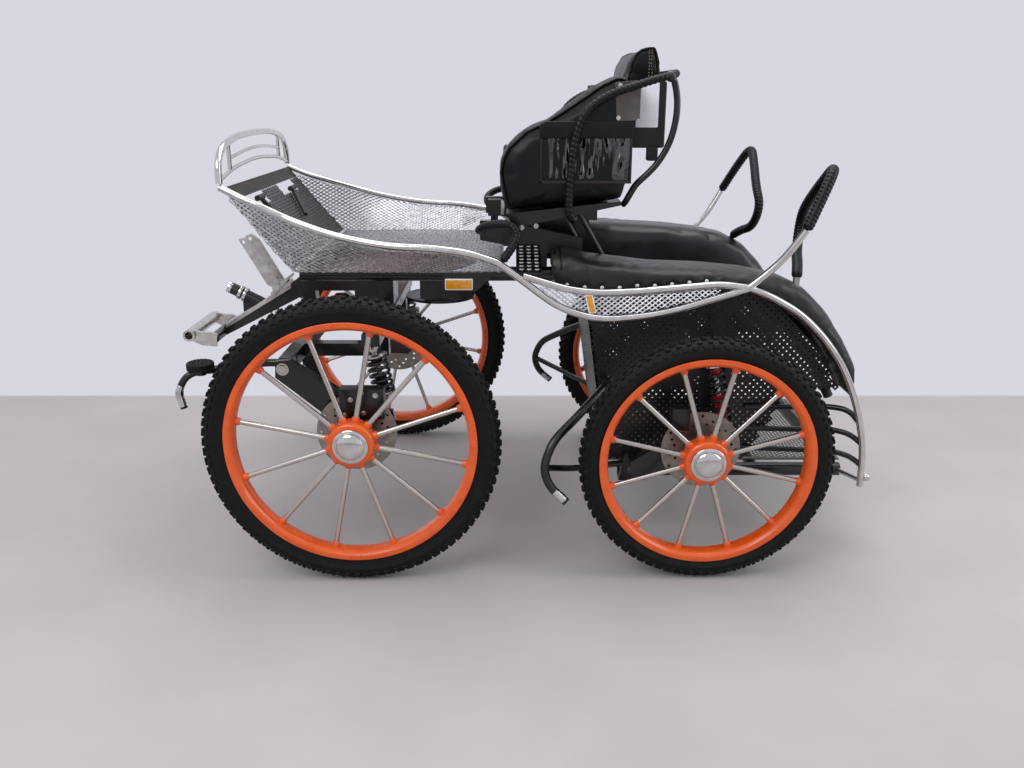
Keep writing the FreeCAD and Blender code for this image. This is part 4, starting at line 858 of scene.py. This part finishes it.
def mudguardShape(side):
    # each section runs over the top from the inner side, then back under the tray
    bm, over, gap = bmesh.new(), padEdge["over"], padEdge["gap"]
    across = over + 9
    bmesh.ops.create_grid(bm, x_segments=padEdge["steps"], y_segments=across, size=0.5)
    start = padRows[0][0] + padEdge["endGap"]
    length = padRows[-1][0] - padEdge["endGap"] - start
    for vert in bm.verts:
        x, low, crest, outer, skirt, lip = sectionAt(padRows, start + (vert.co.x + 0.5) * length)
        inner, outer, crest = padEdge["inner"] + gap, outer - gap, crest - gap
        if side > 0:
            crest += padEdge["fuller"] * min(skirt / 0.06, 1)
        hem, folded, middle = inner + padEdge["skirt"], outer - padEdge["lip"], (outer + inner) / 2
        turn = round((vert.co.y + 0.5) * across)
        if 0 < turn < over + 2:
            lean = math.pi * (turn - 1) / over
            reach = -math.cos(lean)
            y = middle + (outer - middle) * math.copysign(abs(reach) ** padEdge["square"], reach)
            base = low + padEdge["shoulder"] * (crest - low)
            z = base + (crest - base) * math.sin(lean) ** padEdge["full"]
        else:
            under = ((outer, low - lip), (folded, low - lip), (folded, low), (middle, low), (hem, low),
                     (hem, low - skirt / 2), (hem, low - skirt), (inner, low - skirt))
            y, z = under[turn - over - 2 if turn else -1]
        vert.co = (x, side * y, z)
    bmesh.ops.remove_doubles(bm, verts=bm.verts, dist=1e-5)
    bmesh.ops.holes_fill(bm, edges=[edge for edge in bm.edges if edge.is_boundary])
    bmesh.ops.recalc_face_normals(bm, faces=bm.faces)
    return bm


for label, side in bothSides:
    outline = shrunk(metres(leaned(wing, side)), padLook["inset"])
    low, high = sorted((side * (seatLook["outer"] - 0.003), side * (seatLook["inner"] + 0.004)))
    startPad("seatWing" + label, slab(outline, low, high), seatLook["cap"], outline, (low + high) / 2)
for name, outline, half in (("backrest", backrest, seatLook["back"]),
                            ("seatCushion", cushion, seatLook["inner"])):
    bm = slab(shrunk(metres(outline), padLook["inset"]), 0.004 - half, half - 0.004)
    startPad(name, bm, seatLook["cap"])
for label, side in bothSides:
    startPad("mudguardPad" + label, mudguardShape(side), padEdge["cap"])
shapes = blowPads()
skins = {name: BVHTree.FromPolygons([vert.co for vert in shape.vertices],
                                    [face.vertices for face in shape.polygons])
         for name, shape in shapes.items()}
print("pads blown up")


def finishPad(name, finish, held, edit=None):
    bm = bmesh.new()
    bm.from_mesh(shapes[name])
    if edit:
        edit(bm)
    smoothed(bm)
    piece = makePiece(bm, name, finish, held, 180, turn=False)


def onShape(name, spot):
    # the nearest point of a pad's skin, and which way it faces there
    return skins[name].find_nearest(spot)[:2]


def sewWelt(bm, name, route, radius):
    # a welt sewn along a route that is drawn onto a pad's skin
    line = []
    for spot in evenLine(readRoute(route), 0.006)[0]:
        place, way = onShape(name, spot)
        line.append(place + way * radius * seamLook["proud"])
    rollTube(bm, line, radius, 0.005, 8)


def pullIn(bm, side, studs):
    # the outer face is drawn in round each stud, and creased
    bm.normal_update()
    for vert in bm.verts:
        if side * vert.co.y < studLook["outside"]:
            continue
        gaps = [(vert.co - place).length for place, way in studs]
        dent = sum(math.exp(-(gap / studLook["width"]) ** 2) for gap in gaps if gap < studLook["reach"])
        crease = noise.noise(vert.co * studLook["perMetre"]) * studLook["crease"]
        vert.co -= vert.normal * (min(dent, 1) * studLook["dent"] + crease)


for label, side in bothSides:
    name, slot = "mudguardPad" + label, "brown_black_leather"
    edgeLine = [Vector((x, side * outer, low - lip + studLook["rise"]))
                for x, low, crest, outer, skirt, lip in padRows]
    studs = [onShape(name, spot) for spot in evenLine(edgeLine, studLook["pitch"])[0][:-1]]
    # the far pad's hide is painted lighter than the near pad's: a painted sheen
    finishPad(name, "brownLeather" if side < 0 else "smoothLeather", ("mudguard_cushions", "mudguard_trays"),
              lambda bm: pullIn(bm, side, studs))
    bm = bmesh.new()
    for place, way in studs:
        turn = way.to_track_quat("Z", "Y").to_matrix().to_4x4()
        foot = Matrix.Translation(place - way * studLook["sink"])
        bmesh.ops.create_uvsphere(bm, u_segments=12, v_segments=8, radius=studLook["radius"],
                                  matrix=foot @ turn @ Matrix.Diagonal((1, 1, studLook["flat"], 1)))
    makePiece(bm, "padStuds" + label, "whiteNylon", angle=50, turn=False)
    bm = bmesh.new()
    for x in seamLook["x"]:
        sewWelt(bm, name, [atFront(x, side * y, z) for y, z in seamLook["arch"]], seamLook["radius"])
    makePiece(bm, "padSeams" + label, "blackLeather", angle=50)

for label, side in bothSides:
    name = "seatWing" + label
    finishPad(name, "blackLeather", ["driver_seat"])
    bm = bmesh.new()
    for y in seatLook["rims"]:
        rim = leaned(wing, side)[:seatLook["crest"]]
        sewWelt(bm, name, [atFront(x, side * y, z) for x, z in rim], seatLook["piping"])
    makePiece(bm, "wingPiping" + label, "blackLeather", angle=50)
finishPad("seatCushion", "blackLeather", ["driver_seat"])
finishPad("backrest", "blackLeather", ["seat_back"])
bm = bmesh.new()
for side in (-1, 1):
    rim = [atFront(x, side * seatLook["backRim"], z) for x, z in backrest[:seatLook["backCrest"]]]
    sewWelt(bm, "backrest", rim, seatLook["piping"])
makePiece(bm, "backrestPiping", "blackLeather", angle=50)
# two rows of waxed thread near the backrest's rear edge
threadLook = {"rows": (810, 801), "y": 192, "z": (1330, 1402), "pitch": 0.0085, "half": 0.0028,
              "radius": 0.0009, "rise": 0.0006}
bm = bmesh.new()
for x in threadLook["rows"]:
    for side in (-1, 1):
        line = [atFront(x, side * threadLook["y"], z) for z in threadLook["z"]]
        for spot in evenLine(line, threadLook["pitch"])[0]:
            place, way = onShape("backrest", spot)
            place.y += way.y * threadLook["rise"]
            half = Vector((0, 0, threadLook["half"]))
            rollTube(bm, [place - half, place + half], threadLook["radius"], 0.002, 6)
makePiece(bm, "backrestStitches", "waxedThread", angle=50)
print("padded pieces made")

# hard pieces

# copies of welded parts with their sharp corners broken
for name, node, finish, width in (
        ("seatBase", "seat_base", "blackPowder", 0.0016), ("frontFrame", "front_frame", "blackPowder", 0.002),
        ("frontArms", "front_arms", "blackPowder", 0.002), ("rearArms", "rear_arms", "blackPowder", 0.002),
        ("poleCarrier", "pole_carrier", "blackPowder", 0.0016),
        ("clevisEars", "pole_clevis", "blastedSteel", 0.0012),
        ("draughtPlate", "draught_plate", "blastedSteel", 0.001),
        ("sideBrackets", "side_brackets", "blackPowder", 0.001),
        ("sidePlates", "seat_side_plates", "greySheet", 0.001)):
    bm = bmesh.new()
    bm.from_mesh(nodes[node].data)
    bmesh.ops.remove_doubles(bm, verts=bm.verts, dist=1e-5)
    bmesh.ops.dissolve_limit(bm, angle_limit=0.03, verts=bm.verts, edges=bm.edges)
    piece = makePiece(bm, name, finish, [node], turn=False)
    broken = piece.modifiers.new("broken corners", "BEVEL")
    broken.width, broken.segments, broken.limit_method = width, 2, "ANGLE"
    broken.angle_limit = math.radians(40)


def alongWay(place, way):
    # turns the Y axis towards way, and moves the origin to place
    return Matrix.Translation(place) @ Vector(way).to_track_quat("Y", "Z").to_matrix().to_4x4()


def turned(bm, profile, place, way, steps=32, corner=0.0):
    # a profile of (radius, height) in millimetres turned about way, its foot at place
    part = bmesh.new()
    lathe(part, [(radius / 1000, height / 1000) for radius, height in profile], steps, corner)
    bmesh.ops.remove_doubles(part, verts=part.verts, dist=1e-6)
    addPart(bm, part, alongWay(place, way))


def addBolt(bm, place, way, size):
    # a washer and a six-sided head
    turned(bm, [(0, 0), (size * 1.35, 0), (size * 1.35, 1.2), (0, 1.2)], place, way, 20)
    turned(bm, [(0, 1.2), (size, 1.2), (size, 5.2), (size * 0.9, 6.0), (0, 6.0)], place, way, 6)


def coilMesh(place, way, long, radius, turns):
    # long, radius and the wire in millimetres
    bm, steps = bmesh.new(), turns * damperLook["facets"]
    foot = Matrix.Translation((radius / 1000, damperLook["end"] / 1000, 0))
    ring = bmesh.ops.create_circle(bm, segments=12, radius=damperLook["wire"] / 1000, matrix=foot)
    edges = list({edge for vert in ring["verts"] for edge in vert.link_edges})
    climb = (long - 2 * damperLook["end"]) / 1000 / steps
    bmesh.ops.spin(bm, geom=edges, cent=(0, 0, 0), axis=(0, 1, 0), angle=math.tau * turns, steps=steps,
                   dvec=(0, climb, 0))
    bmesh.ops.holes_fill(bm, edges=[edge for edge in bm.edges if edge.is_boundary])
    bmesh.ops.transform(bm, matrix=alongWay(place, way), verts=bm.verts)
    return bm


def damperMesh(a, b, way, long, reach):
    # the bright ends of a damper, and its dark body with the screwed length that sets the spring
    bright, dark = bmesh.new(), bmesh.new()
    bore, outer, half = damperLook["eye"]
    for eye in (a, b):
        turned(bright, [(bore, -half), (outer, -half), (outer, half), (bore, half)], eye, (0, 1, 0), 28,
               0.0015)
    turned(bright, [(0, 21), (reach - 6, 17), (reach, 21.5), (reach, 25.5), (0, 25.5)], a, way, 40)
    turned(bright, [(0, long - 25.5), (reach, long - 25.5), (reach, long - 21), (0, long - 21)], a, way, 40)
    rod, body, middle = damperLook["rod"], damperLook["body"], long / 2
    turned(bright, [(0, 0), (rod, 0), (rod, middle + 6), (0, middle + 6)], a, way)
    screwed = [(body - deep, middle + 3 + i * 4 + rise)
               for i in range(8) for deep, rise in ((0, 0), (0, 2.4), (1, 3.2))]
    turned(dark, [(0, middle)] + screwed + [(body, middle + 38), (body, long - 14), (12, long - 11),
                                            (0, long - 11)], a, way, 36)
    turned(dark, [(0, 27), (16, 27), (17, 33), (15, 45), (11, 52), (0, 52)], a, way)
    return bright, dark


# coil over dampers: columns end, top, foot, coil radius, turns, body and cap finish
damperLook = {"wire": 4.5, "end": 26, "body": 17, "rod": 8, "eye": (5, 13, 14), "facets": 26}
damperRows = (("front", atFront, (40, 377, 614), (70, 377, 462), 28, 6, "blackNylon", "satinSteel"),
              ("rear", atRear, (40, 369, 585), (84, 369, 365), 26, 7, "redShell", "polishedSteel"))
for end, at, top, foot, radius, turns, shell, caps in damperRows:
    node = end + "_dampers"
    for label, side in bothSides:
        a, b = (at(x, side * y, z) for x, y, z in (top, foot))
        way, long = (b - a).normalized(), (b - a).length * 1000
        bright, dark = damperMesh(a, b, way, long, radius + damperLook["wire"])
        makePiece(bright, end + "DamperEnds" + label, caps, [node])
        makePiece(dark, end + "DamperBody" + label, shell, [node])
        spring = coilMesh(a, way, long, radius, turns)
        makePiece(spring, end + "DamperCoil" + label, "blackPowder", [node], 60)
print("dampers made")

# step pads, tips and bright work on the front carriage
stepLook = {"place": (-403, 500, 604), "rings": ((9, 6), (18, 12), (27, 18)), "rise": 3.2}
hookRoute = ((-451, 515, 552), (-463, 518, 531), (-457, 519, 507), (-450.8, 520, 483))
guardRoute = ((536, 549.7, 261), (550, 552, 248), (562, 554, 237), (575, 556, 225))
bm = bmesh.new()
bmesh.ops.create_cone(bm, cap_ends=True, segments=8, radius1=0.0026, radius2=0.0018, depth=0.0024)
grip = asShape(bm)
for label, side in bothSides:
    x, y, z = stepLook["place"]
    bm = bmesh.new()
    turned(bm, [(0, 0.3), (33, 0.3), (34.6, -2), (34.6, -11), (33.4, -13), (33.4, -16), (36, -16), (36, 0),
                (33.6, 2.4), (0, 2.4)], atFront(x, side * y, z), (0, 0, 1), 48)
    for radius, count in stepLook["rings"]:
        for i in range(count):
            turn = math.tau * i / count
            spot = (x + radius * math.cos(turn), side * y + radius * math.sin(turn), z + stepLook["rise"])
            stamp(bm, grip, Matrix.Translation(atFront(*spot)))
    makePiece(bm, "stepTread" + label, "tyreRubber", body="front_carriage")
    for name, route, radius, around, body in (("hookTip", hookRoute, 0.0104, 18, "front_carriage"),
                                              ("guardTip", guardRoute, 0.0129, 20, "chassis")):
        bm = bmesh.new()
        sweep(bm, route, radius, 0.004, around, side=side)
        makePiece(bm, name + label, "polishedSteel", (), 40, body)

# a bright channel laid over the beam's top edge
beam = {"x": (-478, -263), "z": 591, "rise": 0.598, "from": -481, "deep": 13, "over": 2, "half": 0.0298}
tops = [(x, beam["z"] + beam["rise"] * (x - beam["from"])) for x in beam["x"]]
strip = [(x, z - beam["deep"]) for x, z in tops] + [(x, z + beam["over"]) for x, z in reversed(tops)]
makePiece(slab(metres(strip), -beam["half"], beam["half"], 0.001, 0.0012, 2), "beamStrip", "blastedSteel",
          body="front_carriage")
# collars along the pole socket: share of the way from its mouth to its heel, radius, length
bm = bmesh.new()
mouth, heel = atFront(-466, 0, 708), atFront(-330, 0, 637)
for share, radius, long in ((0.0, 18.0, 12), (0.24, 22.0, 9), (0.34, 22.0, 9)):
    inner, outer = radius - 0.6, radius + 0.7
    turned(bm, [(inner, -0.4), (outer, -0.4), (outer, long + 0.4), (inner, long + 0.4)],
           mouth.lerp(heel, share), heel - mouth, 40, 0.0003)
makePiece(bm, "socketCollars", "polishedSteel", body="front_carriage")
# bolts: x, |y|, z and size
caliperBolts = [(x, 497, z, 5.5) for x, z in ((-28, 456), (-10, 500), (20, 520), (58, 512), (66, 462),
                                              (24, 462))]
caliperBolts += [(-200, 445, 570, 13), (70, 445, 462, 8)]
seatBolts = [(694, 434, 1228, 4), (696, 434, 1306, 4), (452, 400, 948.4, 5), (490, 400, 952.58, 5)]
for name, rows, finish, body in (("caliperBolts", caliperBolts, "satinSteel", "front_carriage"),
                                 ("seatBolts", seatBolts, "polishedSteel", "chassis")):
    bm = bmesh.new()
    for side in (-1, 1):
        for x, y, z, size in rows:
            addBolt(bm, atFront(x, side * y, z), (0, side, 0), size)
    makePiece(bm, name, finish, body=body)

# treads beside the seat and the reflectors
treadRows = {"x": (451, 471, 491), "y": range(330, 478, 21), "z": 891.9, "fall": 0.246, "from": 315.3,
             "lean": 0.24, "size": (2.4, 1.5, 0.9, 1)}
for label, side in bothSides:
    bm = bmesh.new()
    for x in treadRows["x"]:
        for y in treadRows["y"]:
            spot = atFront(x, side * y, treadRows["z"] - treadRows["fall"] * (y - treadRows["from"]))
            tooth = Matrix.Rotation(-side * treadRows["lean"], 4, "X") @ Matrix.Diagonal(treadRows["size"])
            stamp(bm, grip, Matrix.Translation(spot) @ tooth)
    makePiece(bm, "sideTread" + label, "blastedSteel", angle=30)
bpy.data.meshes.remove(grip)
for label, side in bothSides:
    for name, spot, near, far, lean in (("basketLens", (248, 318, 783, 808), 0.394, 0.403, 0),
                                        ("boatLens", (618, 633, 743, 787), 0.502, 0.506, 11)):
        bm = plate(box(*spot, 2.5, lean), side, near, far - 0.0015, 0.003, 0.0006, 2)
        makePiece(bm, name + "Frame" + label, "whitePanel")
        bm = plate(box(*spot, 0, lean), side, near, far, 0.002, 0.001, 2)
        makePiece(bm, name + label, "amberAcrylic", ["reflectors"])

# behind the backrest: the case, its two white panels, and the pockets on the wings
caseLook = {"case": (739.5, 826, 1150, 1317.5), "panel": (748, 806, 1202, 1315),
            "tab": (782, 810, 1117, 1152), "half": 0.355, "tabInner": 0.329, "panelThick": 0.0022}
half = caseLook["half"]
bm = plate(box(*caseLook["case"]), 1, -half, half, 0.007, 0.004)
for side in (-1, 1):
    addPart(bm, plate(box(*caseLook["tab"]), side, caseLook["tabInner"], half, 0.004, 0.0015))
makePiece(bm, "backCase", "blackNylon", ["seat_back_case"])
for label, side in bothSides:
    bm = plate(box(*caseLook["panel"]), side, half, half + caseLook["panelThick"], 0.003, 0.0006, 2)
    makePiece(bm, "casePanel" + label, "whitePanel")

# flap: how far the flap's front corner slants back and rises; the far wing falls away under it
pocketLook = {"x": (500, 730), "z": (1070, 1182), "y": 0.4312, "fold": 0.0052, "film": 0.0006, "flap": 38,
              "nearFlap": (8, 30), "farFlap": (95, 2), "bindingY": (0.4305, 0.4378),
              "flapY": (0.4308, 0.4392)}
(x0, x1), (z0, z1) = pocketLook["x"], pocketLook["z"]
for label, side in bothSides:
    bm = bmesh.new()
    bmesh.ops.create_grid(bm, x_segments=92, y_segments=44, size=0.5)
    for vert in bm.verts:
        x, z = x0 + (vert.co.x + 0.5) * (x1 - x0), z0 + (vert.co.y + 0.5) * (z1 - z0)
        # flat at the sewn edges; creases 13 mm wide by 95 mm long, and finer ones across them
        hang = min(1, (0.5 - abs(vert.co.x)) * 9, (0.5 + vert.co.y) * 6 + 0.1)
        fold = noise.noise(Vector((x / 13, z / 95, 3.1))) + 0.7 * noise.noise(Vector((x / 5, z / 40, 9.4)))
        y = pocketLook["y"] + pocketLook["fold"] * hang * min(max(0.5 + 1.1 * fold, 0), 1)
        vert.co = atFront(x, side * y * 1000, z)
    bmesh.ops.solidify(bm, geom=list(bm.faces), thickness=pocketLook["film"])
    makePiece(bm, "pocketFilm" + label, "clearVinyl", ["seat_pockets"], 60)
    bm = bmesh.new()
    for bounds in ((x0 - 2, x1 + 2, z0 - 4, z0 + 3), (x0 - 2, x0 + 3, z0 - 4, z1 + 2),
                   (x1 - 3, x1 + 2, z0 - 4, z1 + 2)):
        addPart(bm, plate(box(*bounds), side, *pocketLook["bindingY"], 0.001, 0.001, 2))
    makePiece(bm, "pocketBinding" + label, "brownLeather")
    slant, foot = pocketLook["nearFlap" if side < 0 else "farFlap"]
    top = z1 + pocketLook["flap"]
    flap = ((x0 - 4, z1 - 4), (x1 + 4, z1 - 4), (x1 + 4, top), (x0 + slant, top), (x0 - 4, z1 + foot))
    bm = plate(flap, side, *pocketLook["flapY"], 0.004, 0.0025)
    makePiece(bm, "pocketFlap" + label, "blackLeather")
# the bright end of the parking brake's box, on the near side
bm = plate(((391, 970), (406, 973), (408, 1008), (391, 1011)), -1, 0.286, 0.316, 0.003, 0.0015)
makePiece(bm, "brakeEnd", "blastedSteel")
print("hard pieces made")

# camera, floor and light

cameraPlace = {"place": (-0.0137, -2.800, 1.286), "turn": 72.16, "lens": 31.72}
camera = bpy.data.objects.new("camera", bpy.data.cameras.new("camera"))
scene.collection.objects.link(camera)
camera.location = cameraPlace["place"]
camera.rotation_euler = (math.radians(cameraPlace["turn"]), 0, 0)
camera.data.lens = cameraPlace["lens"]
scene.camera = camera

studio = {"floor": "#B5B0AE", "wall": "#D6D7E0", "wallY": 1.04, "size": 9.0}
# Troweled concrete, pale and dull; behind the object it is as pale as the wall
floorMaterial = makeFinish("paleConcrete", (studio["floor"], "#BBB6B3"), (0.75, 0.85), 400, 8.0, 0.02)
tree = floorMaterial.node_tree
away = addNode(tree, "SeparateXYZ", {0: addNode(tree, "TexCoord").outputs["Object"]})
share = addNode(tree, "MapRange", {0: away.outputs[1], 1: studio["wallY"] - 0.03, 2: studio["wallY"]})
wall = addNode(tree, "Emission", {0: toLinear(studio["wall"])})
blend = addNode(tree, "MixShader", {0: share.outputs[0], 1: tree.nodes["Principled BSDF"].outputs[0],
                                    2: wall.outputs[0]})
tree.links.new(blend.outputs[0], tree.nodes["Material Output"].inputs[0])
bm = bmesh.new()
bmesh.ops.create_grid(bm, x_segments=1, y_segments=1, size=studio["size"])
floor = bpy.data.objects.new("floor", asShape(bm))
scene.collection.objects.link(floor)
floor.data.materials.append(floorMaterial)

world = bpy.data.worlds.new("studio")
world.use_nodes = True
scene.world = world
background = world.node_tree.nodes["Background"].inputs
background[0].default_value, background[1].default_value = toLinear(studio["wall"]), 1.0

lamps = (
    # place, aim, width, height, watts
    ("keyLamp", (-1.6, -2.6, 3.2), (0, 0, 0.5), 2.4, 1.6, 45),
    ("topLamp", (0.4, 0.3, 3.6), (0.2, 0, 0.5), 3.6, 2.0, 60),
    ("sideLamp", (3.4, -1.2, 2.0), (0.2, 0, 0.6), 1.2, 2.2, 25),
)
for name, place, aim, width, height, watts in lamps:
    light = bpy.data.lights.new(name, "AREA")
    light.shape = "RECTANGLE"
    light.size, light.size_y, light.energy = width, height, watts
    lamp = bpy.data.objects.new(name, light)
    lamp.location = place
    lamp.rotation_euler = (Vector(aim) - Vector(place)).to_track_quat("-Z", "Y").to_euler()
    scene.collection.objects.link(lamp)
print("camera, floor and lamps placed")
